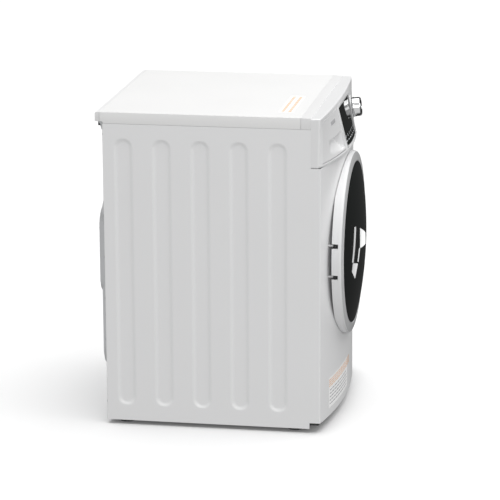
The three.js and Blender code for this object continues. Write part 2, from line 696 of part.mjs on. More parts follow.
/** Lower half of a damper, open at the top. */
function damperTube(side) {
  const x = side * DAMPER.x;
  const outer = post(DAMPER.radius, x, DAMPER.depth, 17, 150);
  return outer.subtract(post(DAMPER.rod + 2.5, x, DAMPER.depth, 60, 160));
}

/** Upper half of a damper: a rod that slides in the tube. */
function damperRod(side) {
  const x = side * DAMPER.x;
  const rod = post(DAMPER.rod, x, DAMPER.depth, 80, 225.6, 12);
  return rod.add(post(DAMPER.rod + 1.8, x, DAMPER.depth, 80, 92, 12));
}

/** Drain pump with the round filter housing behind the flap. */
function drainPump() {
  const { pumpX: x, pumpZ: z } = FILTER;
  const housing = ring(30, 36, 6, 120, 28, x, z);
  const end = ring(0, 36, 112, 120, 28, x, z);
  const foot = block(x - 26, x + 26, 60, 110, 17, z - 30);
  const drive = ring(0, 24, 119, 170, 24, x, z);
  return join(housing, end, foot, drive);
}

/** Screw-in lint filter with a cross grip. */
function pumpFilter() {
  const { pumpX: x, pumpZ: z } = FILTER;
  const cap = ring(0, 35, 1, 5.6, 28, x, z);
  const barrel = ring(0, 28, 5, 92, 24, x, z);
  return join(cap, barrel, block(x - 24, x + 24, -4, 2, z - 4, z + 4));
}

/** Flap over the filter, cut from the same curve as the front panel. */
function filterFlap() {
  const edge = 0.8;
  return bowedSheet(
    FILTER.x0 + edge, FILTER.x1 - edge, FILTER.z0 + edge, FILTER.z1 - edge, 0, 2, 4,
  );
}

/** Drain hose from the pump up to its outlet at the rear. */
function drainHose() {
  const { pumpX: x, pumpZ: z } = FILTER;
  return pipe([[x, 170.6, z], [x, 188, z - 1], [x + 8, 240, z - 26], [245, 330, 62], [245, 500, 62], [245, 543, 110],
    [245, 546, 260], [245, 546, 560], [245, 552, 640], [245, 566, 660], [245, 591, 660]], 10, 28, 8);
}

/** Hose from the tub down to the pump. */
function sumpHose() {
  const route = [[118, 88, 230], [122, 86, 190], [150, 84, 140], [178, 80, 112], [196, 78, 104]];
  const hose = pipe(route, 13, 10);
  const { pumpX: x, pumpZ: z } = FILTER;
  return cut(hose, ring(0, TUB_RADIUS + GAP, 50, 140), ring(0, 36.5, 0, 140, 28, x, z));
}

/** Hose from the detergent box down to the tub. */
function fillHose() {
  const hose = post(12, -190, 250, 620, 727.5);
  return hose.subtract(ring(0, TUB_RADIUS + GAP, 200, 300));
}

/** Water inlet valve with its threaded spout through the rear panel. */
function inletValve() {
  const body = block(-198, -152, 530, 569, 742, 782);
  return body.add(ring(0, 13, 560, 592, SMALL_ROUND, -175, 760));
}

/** Hose from the valve to the detergent box. */
function inletHose() {
  return pipe([[-175, 528, 770], [-177, 516, 770], [-192, 490, 772], [-232, 440, 776], [-236, 360, 776],
    [-226, 318, 771], [-226, 301, 770]], 7, 14, 8);
}

/** Gland where the mains lead enters the cabinet. */
function powerInlet() {
  const body = block(186, 224, 548, 571, 752, 788);
  return body.add(ring(0, 11, 560, 588, SMALL_ROUND, 205, 770));
}

/** Circuit housing behind the display. */
const controlModule = () => block(-60, 140, -1, 16, 732, 832);

/** Names and places of the four feet. */
function footPlaces() {
  return [
    ['foot_front_left', -FOOT.x, FOOT.front],
    ['foot_front_right', FOOT.x, FOOT.front],
    ['foot_rear_left', -FOOT.x, FOOT.rear],
    ['foot_rear_right', FOOT.x, FOOT.rear],
  ];
}

/** Levelling foot: a pad on a threaded stud. */
function foot(x, depth) {
  return post(FOOT.radius, x, depth, 0, FOOT.pad, 24).add(post(FOOT.stud, x, depth, FOOT.pad - 1, FOOT.top, 12));
}

// cabinet
add('side_panel_left', sidePanel(-1), 'enamel');
add('side_panel_right', sidePanel(1), 'enamel');
add('rear_panel', rearPanel(), 'enamel');
add('rear_service_cover', serviceCover(), 'enamel');
add('base_pan', basePan(), 'innerPlastic');
add('front_panel', frontPanel(), 'enamel');
add('worktop', worktop(), 'enamel');
add('top_crossbar', topCrossbar(), 'steel');
for (const [name, x, depth] of footPlaces()) add(name, foot(x, depth), 'blackRubber');

// controls
add('control_panel', controlPanel(), 'plastic');
add('control_module', controlModule(), 'innerPlastic');
add('display_window', bowedSheet(
  DISPLAY.x0, DISPLAY.x1, DISPLAY.z0, DISPLAY.z1, -0.8, 3, 10,
), 'darkGlass');
add('program_knob', programKnob(), 'chrome');
add('drawer_front', drawerFront(), 'plastic');
add('drawer_tray', drawerTray(), 'innerPlastic');
add('drawer_housing', drawerHousing(), 'innerPlastic');

// door
add('door_ring', doorRing(), 'plastic');
add('door_inner_ring', doorInnerRing(), 'innerPlastic');
add('door_glass_cover', doorGlassCover(), 'darkGlass');
add('door_bowl', doorBowl(), 'clearGlass');
add('door_hinge_bracket', hingeBracket(), 'blackPlastic');
add('door_hinge_arm', hingeArm(), 'steel');
add('door_hinge_pin', post(
  HINGE.pin, HINGE.x, HINGE.depth, HINGE.z - HINGE.spacing / 2 - 7, HINGE.z + HINGE.spacing / 2 + 7, 12,
), 'steel');
add('door_latch_hook', latchHook(), 'steel');
add('door_lock', doorLock(), 'blackPlastic');
add('door_seal', doorSeal(), 'rubber');

// washing unit
add('tub_front', tubFront(), 'innerPlastic');
add('tub_rear', tubRear(), 'innerPlastic');
add('counterweight_front', frontCounterweight(), 'concrete');
add('counterweight_top', topCounterweight(), 'concrete');
add('heater', heater(), 'steel');
add('drum_bearing_front', bearing(413), 'steel');
add('drum_bearing_rear', bearing(446), 'steel');
add('drum_shell', drumShell(), 'steel');
['a', 'b', 'c'].forEach((letter, k) => add(`drum_lifter_${letter}`, lifter((k * Math.PI * 2) / 3), 'innerPlastic'));
add('drum_spider', drumSpider(), 'castIron');
add('drum_pulley', drumPulley(), 'castIron');
add('motor', motor(), 'castIron');
add('motor_pulley', motorPulley(), 'steel');
add('drive_belt', driveBelt(), 'blackRubber');
for (const [label, side] of [['left', -1], ['right', 1]]) {
  add(`tub_spring_${label}`, tubSpring(side), 'steel');
  add(`damper_tube_${label}`, damperTube(side), 'innerPlastic');
  add(`damper_rod_${label}`, damperRod(side), 'steel');
}

// water
add('drain_pump', drainPump(), 'innerPlastic');
add('pump_filter', pumpFilter(), 'innerPlastic');
add('filter_flap', filterFlap(), 'plastic');
add('drain_hose', drainHose(), 'rubber');
add('sump_hose', sumpHose(), 'blackRubber');
add('fill_hose', fillHose(), 'blackRubber');
add('inlet_valve', inletValve(), 'innerPlastic');
add('inlet_hose', inletHose(), 'blackRubber');
add('power_inlet', powerInlet(), 'blackPlastic');

export default machine;
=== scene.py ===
"""The looks of a front-loading washing machine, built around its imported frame.

Metres, +Z up. The machine's front faces -Y and +X is on the right of somebody facing it.
New pieces are surfaces on a grid of two parameters, worked out as whole arrays.
"""
import json
import math

import bmesh
import bpy
import numpy as np
from bpy.props import FloatProperty, FloatVectorProperty
from mathutils import Matrix, Vector

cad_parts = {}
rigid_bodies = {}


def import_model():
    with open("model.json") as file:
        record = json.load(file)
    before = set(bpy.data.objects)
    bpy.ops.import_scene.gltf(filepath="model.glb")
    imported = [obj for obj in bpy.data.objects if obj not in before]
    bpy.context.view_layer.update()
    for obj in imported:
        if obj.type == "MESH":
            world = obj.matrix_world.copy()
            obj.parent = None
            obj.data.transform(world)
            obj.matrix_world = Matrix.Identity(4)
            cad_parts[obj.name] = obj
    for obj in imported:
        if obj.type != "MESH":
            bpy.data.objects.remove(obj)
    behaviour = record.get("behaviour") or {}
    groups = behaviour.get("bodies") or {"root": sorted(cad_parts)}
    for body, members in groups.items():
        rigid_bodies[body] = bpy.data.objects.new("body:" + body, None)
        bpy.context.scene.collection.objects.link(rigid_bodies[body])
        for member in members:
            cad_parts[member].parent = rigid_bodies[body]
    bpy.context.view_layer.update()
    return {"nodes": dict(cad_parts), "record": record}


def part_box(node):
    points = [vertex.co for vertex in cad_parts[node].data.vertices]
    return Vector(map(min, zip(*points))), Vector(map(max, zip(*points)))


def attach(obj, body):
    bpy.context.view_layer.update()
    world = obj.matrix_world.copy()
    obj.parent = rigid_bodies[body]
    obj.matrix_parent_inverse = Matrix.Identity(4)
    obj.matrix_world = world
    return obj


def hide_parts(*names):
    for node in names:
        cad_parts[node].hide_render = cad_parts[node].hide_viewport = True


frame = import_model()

bl_info = {
    "name": "Front-loading washing machine",
    "version": (1, 0, 0),
    "blender": (4, 5, 0),
    "location": "View3D > Sidebar > Washer",
    "description": "Builds the visible surfaces and finishes of a washing machine around its frame",
    "category": "Object",
}

# ---- what the frame says -----------------------------------------------------------------

MM = 0.001


def low(node):
    """Lowest corner of a frame node."""
    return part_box(node)[0]


def high(node):
    """Highest corner of a frame node."""
    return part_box(node)[1]


def joint(name):
    """A joint of the record, by name."""
    return next(row for row in frame["record"]["behaviour"]["joints"] if row["name"] == name)


LIP_FLARE = 4 * MM                              # how much further the panel's foot itself stands out
CAD_BOW = 28 * MM                               # bulge of the frame's front at its middle
BOW = 33 * MM                                   # bulge of the finished front
LIP_BOW = 42 * MM                               # bulge of the control panel's foot, which overhangs
HALF = high("front_panel").x                    # half the cabinet's width
FRONT = low("front_panel").y + CAD_BOW          # plane of the two front corners
LID_TOP = high("worktop").z
PANEL_FOOT = low("control_panel").z
PANEL_HEAD = high("control_panel").z
DOOR_Z = (low("door_ring").z + high("door_ring").z) / 2
DOOR_R = high("door_ring").x
GLASS_R = high("door_glass_cover").x
SHEET = 1.2 * MM


# ---- surfaces ----------------------------------------------------------------------------

def ease(t):
    """Smooth step: 3t^2 - 2t^3 on the part of t between 0 and 1, flat outside it."""
    t = np.clip(t, 0, 1)
    return t * t * (3 - 2 * t)


def panel_sag(z):
    """Bulge at height z: the bow up to the control panel's foot. Above it, s being the share of the way down
    the panel, top + (lip - top) s + flare s^7."""
    top = bpy.context.scene.washer_sizes.bow_top
    share = np.clip((PANEL_HEAD - z) / (PANEL_HEAD - PANEL_FOOT), 0, 1)
    panel = top + (LIP_BOW - top) * share + LIP_FLARE * share ** 7
    return np.where(np.asarray(z) < PANEL_FOOT - 1e-6, BOW, panel)


def bow(x, z):
    """Y of the bowed front: the corner plane less sag (1 - (x / half)^2)."""
    return FRONT - panel_sag(z) * (1 - (x / HALF) ** 2)


def spread(*stops, step):
    """Ascending samples through the given stops, no further apart than step."""
    stops = sorted(set(round(s, 7) for s in stops))
    runs = [np.linspace(a, b, max(1, math.ceil((b - a) / step - 1e-6)), endpoint=False)
            for a, b in zip(stops, stops[1:])]
    return np.concatenate([*runs, [stops[-1]]])


def fillet(points, radius, steps=5, closed=False):
    """The polyline with each corner replaced by an arc that is tangent to both sides.

    Along each side the arc starts radius / tan(half the corner's angle) from the corner, or at most
    0.49 of the side, and its points are quadratic blends between the two tangent points.
    """
    points = np.asarray(points, float)
    radius = np.broadcast_to(radius, (len(points),))
    before = np.roll(points, 1, 0) - points
    after = np.roll(points, -1, 0) - points
    before_length = np.linalg.norm(before, axis=1)
    after_length = np.linalg.norm(after, axis=1)
    before = before / np.maximum(before_length, 1e-12)[:, None]
    after = after / np.maximum(after_length, 1e-12)[:, None]
    half = np.arccos(np.clip((before * after).sum(1), -1, 1)) / 2
    shorter = np.minimum(before_length, after_length)
    reach = np.minimum(radius / np.tan(np.maximum(half, 1e-3)), 0.49 * shorter)
    if not closed:
        reach[0] = reach[-1] = 0
    t = np.linspace(0, 1, steps + 1)[None, :, None]
    start = (points + before * reach[:, None])[:, None]
    end = (points + after * reach[:, None])[:, None]
    arcs = (1 - t) ** 2 * start + 2 * t * (1 - t) * points[:, None] + t ** 2 * end
    arcs = arcs.reshape(-1, points.shape[1])
    keep = np.ones(len(arcs), bool)
    keep[1:] = np.linalg.norm(np.diff(arcs, axis=0), axis=1) > 1e-7
    return arcs[keep]


def lathe(profile, sides=96):
    """(radius, y) points carried round the door's axis: x = r cos t, z = door height + r sin t."""
    t = np.linspace(0, 2 * math.pi, sides + 1)[:, None]
    r, y = np.asarray(profile, float).T
    return np.stack([np.cos(t) * r, y + 0 * t, DOOR_Z + np.sin(t) * r], -1)


def lathe_about(profile, origin, axis, sides=96):
    """(radius, height) points carried round any axis: origin + h axis + r (u cos t + v sin t)."""
    axis = np.asarray(axis, float)
    u = np.cross(axis, (0, 0, 1) if abs(axis[2]) < 0.9 else (1, 0, 0))
    u /= np.linalg.norm(u)
    v = np.cross(axis, u)
    t = np.linspace(0, 2 * math.pi, sides + 1)[:, None, None]
    r, h = np.asarray(profile, float).T[:, None, :, None]
    return np.asarray(origin, float) + h * axis + r * (np.cos(t) * u + np.sin(t) * v)


def capped(profile):
    """The profile with its two ends led to the axis, so that the turned surface is closed."""
    profile = np.asarray(profile, float)
    return np.vstack([[0, profile[0][1]], profile, [0, profile[-1][1]]])


def looped(profile):
    """The profile with its first point repeated at the end."""
    return np.vstack([profile, profile[:1]])


def rounded_box(lo, hi, r, arc=4, step=None, lines=((), (), ())):
    """Six grids of a box with round edges: a cube's surface point p becomes q + r (p - q) / |p - q|,
    where q is p held inside the box less r."""
    lo, hi = np.asarray(lo, float), np.asarray(hi, float)
    angles = np.tan(np.linspace(0, math.pi / 4, arc + 1))
    samples = []
    for k in range(3):
        edge = r * (1 - angles[::-1])
        support = min(1.5 * r, 0.4 * (hi[k] - lo[k]))
        inner = spread(lo[k] + r, lo[k] + support, *lines[k], hi[k] - support, hi[k] - r, step=step or 10.0)
        samples.append(np.unique(np.round(np.concatenate([lo[k] + edge, inner, hi[k] - edge]), 8)))
    grids = []
    for k in range(3):
        a, b = (k + 1) % 3, (k + 2) % 3
        for side in (lo[k], hi[k]):
            p = np.empty((len(samples[a]), len(samples[b]), 3))
            p[..., k] = side
            p[..., a] = samples[a][:, None]
            p[..., b] = samples[b][None, :]
            q = np.clip(p, lo + r, hi - r)
            away = p - q
            length = np.linalg.norm(away, axis=-1, keepdims=True)
            grids.append(q + r * away / np.maximum(length, 1e-12))
    return grids


# ---- from grids to pieces ----------------------------------------------------------------

def grid_faces(nu, nv, keep=None):
    """Quads between the neighbours of an nu by nv grid, only where keep says so."""
    i, j = np.meshgrid(np.arange(nu - 1), np.arange(nv - 1), indexing="ij")
    a = i * nv + j
    quads = np.stack([a, a + nv, a + nv + 1, a + 1], -1)
    return quads[keep] if keep is not None else quads.reshape(-1, 4)


def build(name, grids, look, body, replaces=(), inside=None, thick=0.0, sharp=38):
    """A piece from grids of points, each a grid or (grid, keep). It is welded, its faces point out, and it
    rides on its body. A sheet that isn't closed names a point inside it and may get a thickness inwards.
    look is a key of FINISHES."""
    points, faces, start = [], [], 0
    for entry in grids:
        grid, keep = entry if isinstance(entry, tuple) else (entry, None)
        points.append(grid.reshape(-1, 3))
        faces.append(grid_faces(*grid.shape[:2], keep) + start)
        start += grid.shape[0] * grid.shape[1]
    points, faces = np.vstack(points), np.vstack(faces)
    mesh = bpy.data.meshes.new(name)
    mesh.from_pydata(points.tolist(), [], faces.tolist())
    work = bmesh.new()
    work.from_mesh(mesh)
    bmesh.ops.remove_doubles(work, verts=work.verts, dist=4e-6)
    bmesh.ops.dissolve_degenerate(work, dist=1e-6, edges=work.edges)
    bmesh.ops.recalc_face_normals(work, faces=work.faces)
    if inside is not None:
        centre = Vector(inside)
        facing = sum((f.calc_center_median() - centre).dot(f.normal) * f.calc_area() for f in work.faces)
        if facing < 0:
            bmesh.ops.reverse_faces(work, faces=work.faces)
    work.to_mesh(mesh)
    work.free()
    mesh.polygons.foreach_set("use_smooth", np.ones(len(mesh.polygons), bool))
    mesh.set_sharp_from_angle(angle=math.radians(sharp))
    if thick:
        edge_of = np.empty(len(mesh.loops), np.int32)
        mesh.loops.foreach_get("edge_index", edge_of)
        for index in np.flatnonzero(np.bincount(edge_of, minlength=len(mesh.edges)) == 1):
            mesh.edges[int(index)].use_edge_sharp = True
    piece = bpy.data.objects.new(name, mesh)
    bpy.context.scene.collection.objects.link(piece)
    if thick:
        wall = piece.modifiers.new("wall", "SOLIDIFY")
        wall.thickness = thick
        wall.offset = -1
        wall.use_even_offset = True
    piece.data.materials.append(paint(look))
    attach(piece, body)
    if replaces:
        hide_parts(*replaces)


def repaint(nodes, material):
    """Frame nodes whose shape is kept get a finished material."""
    for name in nodes:
        data = frame["nodes"][name].data
        data.materials.clear()
        data.materials.append(material)


# ---- materials ---------------------------------------------------------------------------

def socket(tree, name, kind, into, default=None):
    """A named socket of a node group."""
    made = tree.interface.new_socket(name=name, in_out=into, socket_type=kind)
    if default is not None:
        made.default_value = default
    return made


def node(tree, kind, **values):
    """A node with its properties set."""
    made = tree.nodes.new(kind)
    for key, value in values.items():
        setattr(made, key, value)
    return made


def new_group(name, inputs, outputs):
    """A node group with named inputs and outputs: returns the tree and its two end nodes."""
    tree = bpy.data.node_groups.new(name, "ShaderNodeTree")
    for key, kind, default in inputs:
        socket(tree, key, kind, "INPUT", default)
    for key, kind in outputs:
        socket(tree, key, kind, "OUTPUT")
    return tree, node(tree, "NodeGroupInput"), node(tree, "NodeGroupOutput")


def maths(tree, operation, *values):
    """The output of a maths node whose inputs are the given numbers or sockets."""
    made = node(tree, "ShaderNodeMath", operation=operation)
    for entry, value in zip(made.inputs, values):
        if isinstance(value, bpy.types.NodeSocket):
            tree.links.new(value, entry)
        else:
            entry.default_value = value
    return made.outputs[0]


def tone_group():
    """Slow drift of tone, a fine speckle, and a patchy darkening towards the bottom: colour and roughness."""
    name = "tone drift"
    if name in bpy.data.node_groups:
        return bpy.data.node_groups[name]
    tree, start, end = new_group(name, [
        ("Base", "NodeSocketColor", (0.8, 0.8, 0.8, 1)),
        ("Dirt", "NodeSocketColor", (0.4, 0.38, 0.35, 1)),
        ("Drift", "NodeSocketFloat", 0.04),
        ("Speckle", "NodeSocketFloat", 0.02),
        ("Dust", "NodeSocketFloat", 0.05),
        ("Roughness", "NodeSocketFloat", 0.4),
        ("Roughness drift", "NodeSocketFloat", 0.06),
    ], [("Color", "NodeSocketColor"), ("Roughness", "NodeSocketFloat")])
    link = tree.links.new
    place = node(tree, "ShaderNodeTexCoord")
    slow = node(tree, "ShaderNodeTexNoise")
    slow.inputs["Scale"].default_value = 4
    slow.inputs["Detail"].default_value = 3
    fast = node(tree, "ShaderNodeTexNoise")
    fast.inputs["Scale"].default_value = 900
    fast.inputs["Detail"].default_value = 1
    for texture in (slow, fast):
        link(place.outputs["Object"], texture.inputs["Vector"])

    def centred(source, amount):
        """(source - 0.5) times amount."""
        return maths(tree, "MULTIPLY", maths(tree, "SUBTRACT", source, 0.5), amount)

    total = maths(tree, "ADD", centred(slow.outputs["Fac"], start.outputs["Drift"]),
                  centred(fast.outputs["Fac"], start.outputs["Speckle"]))
    shade = node(tree, "ShaderNodeVectorMath", operation="SCALE")
    link(start.outputs["Base"], shade.inputs[0])
    link(maths(tree, "ADD", total, 1), shade.inputs["Scale"])
    split = node(tree, "ShaderNodeSeparateXYZ")
    link(place.outputs["Object"], split.inputs[0])
    # Below 0.16 m of height the colour mixes patchily towards a darker tint, so surfaces grow darker towards
    # the bottom.
    fall = node(tree, "ShaderNodeMapRange")
    fall.inputs["From Min"].default_value = 0.16
    fall.inputs["From Max"].default_value = 0.0
    link(split.outputs["Z"], fall.inputs["Value"])
    patchy = maths(tree, "MULTIPLY", fall.outputs[0], slow.outputs["Fac"])
    mix = node(tree, "ShaderNodeMix", data_type="RGBA")
    link(maths(tree, "MULTIPLY", patchy, start.outputs["Dust"]), mix.inputs["Factor"])
    link(shade.outputs[0], mix.inputs["A"])
    link(start.outputs["Dirt"], mix.inputs["B"])
    link(mix.outputs["Result"], end.inputs["Color"])
    shift = centred(slow.outputs["Fac"], start.outputs["Roughness drift"])
    link(maths(tree, "ADD", start.outputs["Roughness"], shift), end.inputs["Roughness"])
    return tree


def grain_group():
    """Height of a fine surface texture: noise stretched by Stretch, plus a slow waviness."""
    name = "surface grain"
    if name in bpy.data.node_groups:
        return bpy.data.node_groups[name]
    tree, start, end = new_group(name, [
        ("Scale", "NodeSocketFloat", 400.0),
        ("Stretch", "NodeSocketVector", (1, 1, 1)),
        ("Waviness", "NodeSocketFloat", 0.3),
    ], [("Height", "NodeSocketFloat")])
    link = tree.links.new
    place = node(tree, "ShaderNodeTexCoord")
    stretch = node(tree, "ShaderNodeVectorMath", operation="MULTIPLY")
    link(place.outputs["Object"], stretch.inputs[0])
    link(start.outputs["Stretch"], stretch.inputs[1])
    fine = node(tree, "ShaderNodeTexNoise")
    fine.inputs["Detail"].default_value = 2
    link(stretch.outputs[0], fine.inputs["Vector"])
    link(start.outputs["Scale"], fine.inputs["Scale"])
    wave = node(tree, "ShaderNodeTexNoise")
    wave.inputs["Scale"].default_value = 14
    wave.inputs["Detail"].default_value = 1
    link(place.outputs["Object"], wave.inputs["Vector"])
    lift = maths(tree, "MULTIPLY", wave.outputs["Fac"], start.outputs["Waviness"])
    link(maths(tree, "ADD", fine.outputs["Fac"], lift), end.inputs["Height"])
    return tree


def finish(name, colour, roughness, metallic=0.0, drift=0.03, speckle=0.02, dust=0.04, rough_drift=0.06,
           grain=500.0, stretch=(1, 1, 1), waviness=0.2, relief=0.05, depth=0.0002, **sockets):
    """A material: the tone group feeds colour and roughness, the grain group feeds the bump, and every
    other value sits on the shader's own sockets."""
    if name in bpy.data.materials:
        return bpy.data.materials[name]
    material = bpy.data.materials.new(name)
    material.use_nodes = True
    tree = material.node_tree
    shader = tree.nodes["Principled BSDF"]
    tone = node(tree, "ShaderNodeGroup", node_tree=tone_group())
    tone.inputs["Base"].default_value = (*colour, 1)
    tone.inputs["Drift"].default_value = drift
    tone.inputs["Speckle"].default_value = speckle
    tone.inputs["Dust"].default_value = dust
    tone.inputs["Roughness"].default_value = roughness
    tone.inputs["Roughness drift"].default_value = rough_drift
    tree.links.new(tone.outputs["Color"], shader.inputs["Base Color"])
    tree.links.new(tone.outputs["Roughness"], shader.inputs["Roughness"])
    texture = node(tree, "ShaderNodeGroup", node_tree=grain_group())
    texture.inputs["Scale"].default_value = grain
    texture.inputs["Stretch"].default_value = stretch
    texture.inputs["Waviness"].default_value = waviness
    bump = node(tree, "ShaderNodeBump")
    bump.inputs["Strength"].default_value = relief
    bump.inputs["Distance"].default_value = depth
    tree.links.new(texture.outputs["Height"], bump.inputs["Height"])
    tree.links.new(bump.outputs["Normal"], shader.inputs["Normal"])
    shader.inputs["Metallic"].default_value = metallic
    for key, value in sockets.items():
        shader.inputs[key.replace("_", " ")].default_value = value
    return material


# Key: (the material's name, its colour or the setting that holds it, roughness, everything else).
INK = {"drift": 0.12, "speckle": 0.15, "dust": 0.0, "grain": 2500, "relief": 0.02}
FINISHES = {
    # Powder-coated sheet steel: a fine orange peel under a soft gloss.
    "enamel": ("powder coat", "enamel", 0.33, {"grain": 700, "waviness": 0.5, "relief": 0.06}),
    # Satin white moulding.
    "white_plastic": ("white moulding", "plastic", 0.3, {"grain": 1600, "waviness": 0.15, "relief": 0.05}),
    # Pale grey moulding of the inner parts.
    "inner_plastic": ("grey moulding", (0.6, 0.61, 0.62), 0.5, {"grain": 1100, "relief": 0.1}),
    # Black moulding with a fine spark texture.
    "black_plastic": ("black moulding", (0.012, 0.012, 0.013), 0.42, {
        "speckle": 0.3, "grain": 1800, "relief": 0.2}),
    # Black gloss glass with faint wipe marks in its roughness.
    "black_glass": ("black glass", "glass", 0.035, {
        "drift": 0.3, "speckle": 0.1, "dust": 0.0, "rough_drift": 0.03, "grain": 9, "waviness": 0.0,
        "relief": 0.01, "Specular_IOR_Level": 0.5}),
    # Zinc-coated sheet with a soft spangle.
    "galvanised": ("zinc coat", (0.66, 0.67, 0.68), 0.42, {
        "metallic": 0.12, "drift": 0.25, "speckle": 0.1, "rough_drift": 0.2, "grain": 160,
        "relief": 0.08}),
    # Plain machined steel with fine turning marks.
    "steel": ("machined steel", (0.55, 0.55, 0.56), 0.3, {
        "metallic": 1.0, "drift": 0.1, "grain": 300, "stretch": (1, 12, 1), "relief": 0.1}),
    # Die-cast alloy: a sandy skin.
    "cast_alloy": ("cast alloy", (0.5, 0.51, 0.52), 0.5, {
        "metallic": 0.9, "drift": 0.2, "speckle": 0.2, "grain": 420, "relief": 0.3, "depth": 0.0005}),
    # Grey cast weight with a coarse skin.
    "cast_weight": ("cast weight", (0.3, 0.3, 0.29), 0.8, {
        "drift": 0.4, "speckle": 0.3, "grain": 240, "relief": 0.6, "depth": 0.001}),
    # Soft grey rubber.
    "grey_rubber": ("grey rubber", (0.24, 0.245, 0.25), 0.62, {
        "drift": 0.12, "grain": 900, "relief": 0.15}),
    # Black rubber.
    "black_rubber": ("black rubber", (0.016, 0.016, 0.016), 0.7, {
        "speckle": 0.3, "grain": 900, "relief": 0.2}),
    # Filled grey moulding of the tub.
    "tub_plastic": ("tub moulding", (0.5, 0.51, 0.52), 0.55, {
        "drift": 0.08, "speckle": 0.1, "grain": 800, "relief": 0.15}),
    # White laminate with a barely visible pebble.
    "lid_board": ("laminate", (0.93, 0.93, 0.925), 0.36, {
        "speckle": 0.03, "grain": 1200, "waviness": 0.1, "relief": 0.08}),
    # The plastic edge of the worktop, a shade darker than the board.
    "lid_edge": ("worktop edge", (0.88, 0.88, 0.88), 0.34, {"grain": 1500, "relief": 0.05}),
    # Bright plating with hairline wear in its roughness.
    "chrome": ("plating", (0.86, 0.865, 0.87), 0.07, {
        "metallic": 1.0, "drift": 0.04, "dust": 0.0, "rough_drift": 0.06, "grain": 60,
        "stretch": (1, 9, 1), "relief": 0.01}),
    # Pale silver lacquer of the door's lip.
    "door_silver": ("silver lacquer", (0.72, 0.725, 0.73), 0.24, {
        "metallic": 0.1, "drift": 0.04, "grain": 1500, "relief": 0.03}),
    # Stainless sheet brushed round the drum's axis.
    "drum_steel": ("stainless", (0.66, 0.665, 0.67), 0.25, {
        "metallic": 1.0, "drift": 0.08, "dust": 0.0, "rough_drift": 0.1, "grain": 220,
        "stretch": (1, 0.08, 1), "relief": 0.06}),
    # Thick pressed glass, faintly green.
    "clear_glass": ("pressed glass", (0.9, 0.97, 0.95), 0.03, {
        "drift": 0.01, "speckle": 0.0, "dust": 0.0, "rough_drift": 0.03, "grain": 30, "relief": 0.02,
        "IOR": 1.5, "Transmission_Weight": 1.0}),
    # White label paper with a faint painted glow that brightens it.
    "label_paper": ("label paper", (0.97, 0.97, 0.965), 0.5, {
        "speckle": 0.02, "dust": 0.0, "grain": 2500, "relief": 0.05, "Emission_Color": (1, 1, 1, 1),
        "Emission_Strength": 0.07}),
    # Orange print.
    "orange_ink": ("orange ink", "label", 0.55, INK),
    # Grey print.
    "grey_ink": ("grey ink", (0.5, 0.5, 0.51), 0.55, INK),
    # Soft grey of the blank badge.
    "badge_grey": ("badge grey", (0.5, 0.5, 0.51), 0.55, INK),
    # Near-white print on the display.
    "pale_ink": ("pale ink", (0.85, 0.87, 0.9), 0.55, INK),
}
# Each material slot of the record: its finish, where the two have different names.
SLOT_FINISH = {"lid_white": "lid_board", "alloy": "cast_alloy", "weight": "cast_weight",
               "dark_glass": "black_glass"}


def paint(key):
    """The material of one finish, built the first time it is asked for."""
    name, colour, roughness, rest = FINISHES[key]
    if isinstance(colour, str):
        colour = getattr(bpy.context.scene.washer_colours, colour)
    return finish(name, colour, roughness, **rest)


# ---- sheets that follow the bowed front --------------------------------------------------

def front_grids(xs, zs, above):
    """A sheet over the bowed front: x across, z up, and y = the bow less its height above it."""
    z, x = np.meshgrid(zs, xs, indexing="ij")
    return np.stack([x, bow(x, z) - above, z], -1)


def bowed_block(x0, x1, z0, z1, inset, rear, r, lines=((), ()), dig=None, step=0.012):
    """A moulding of the bowed front: a box with round edges in (x, a, z). Over the first r of its depth
    y = bow + inset + dig + a, and from there y runs evenly to rear, a number or a function of x and z. The
    box is 2 r deeper than its side walls, so that only its face has round edges."""
    depth = 8 * r
    grids = rounded_box((x0, 0, z0), (x1, depth + 2 * r, z1), r, step=step,
                        lines=(lines[0], (depth,), lines[1]))
    shaped = []
    for grid in grids:
        x, a, z = grid[..., 0], grid[..., 1], grid[..., 2]
        face = bow(x, z) + inset + (dig(x, z) if dig is not None else 0)
        back = rear(x, z) if callable(rear) else rear
        share = np.clip((a - r) / (depth - r), 0, 1)
        shaped.append(np.stack([x, face + np.minimum(a, r) + (back - face - r) * share, z], -1))
    return shaped


def print_bars(x0, x1, z, height, seed, gap=0.004):
    """Start and end of each bar in one printed row: widths of 6 to 22 mm from a fixed sine sequence."""
    bars, x, k = [], x0, seed
    while x < x1 - 0.006:
        width = min(0.006 + 0.016 * abs(math.sin(12.9898 * k)), x1 - x)
        bars.append((x, x + width, z, z + height))
        x += width + gap
        k += 1
    return bars


# ---- cabinet -----------------------------------------------------------------------------

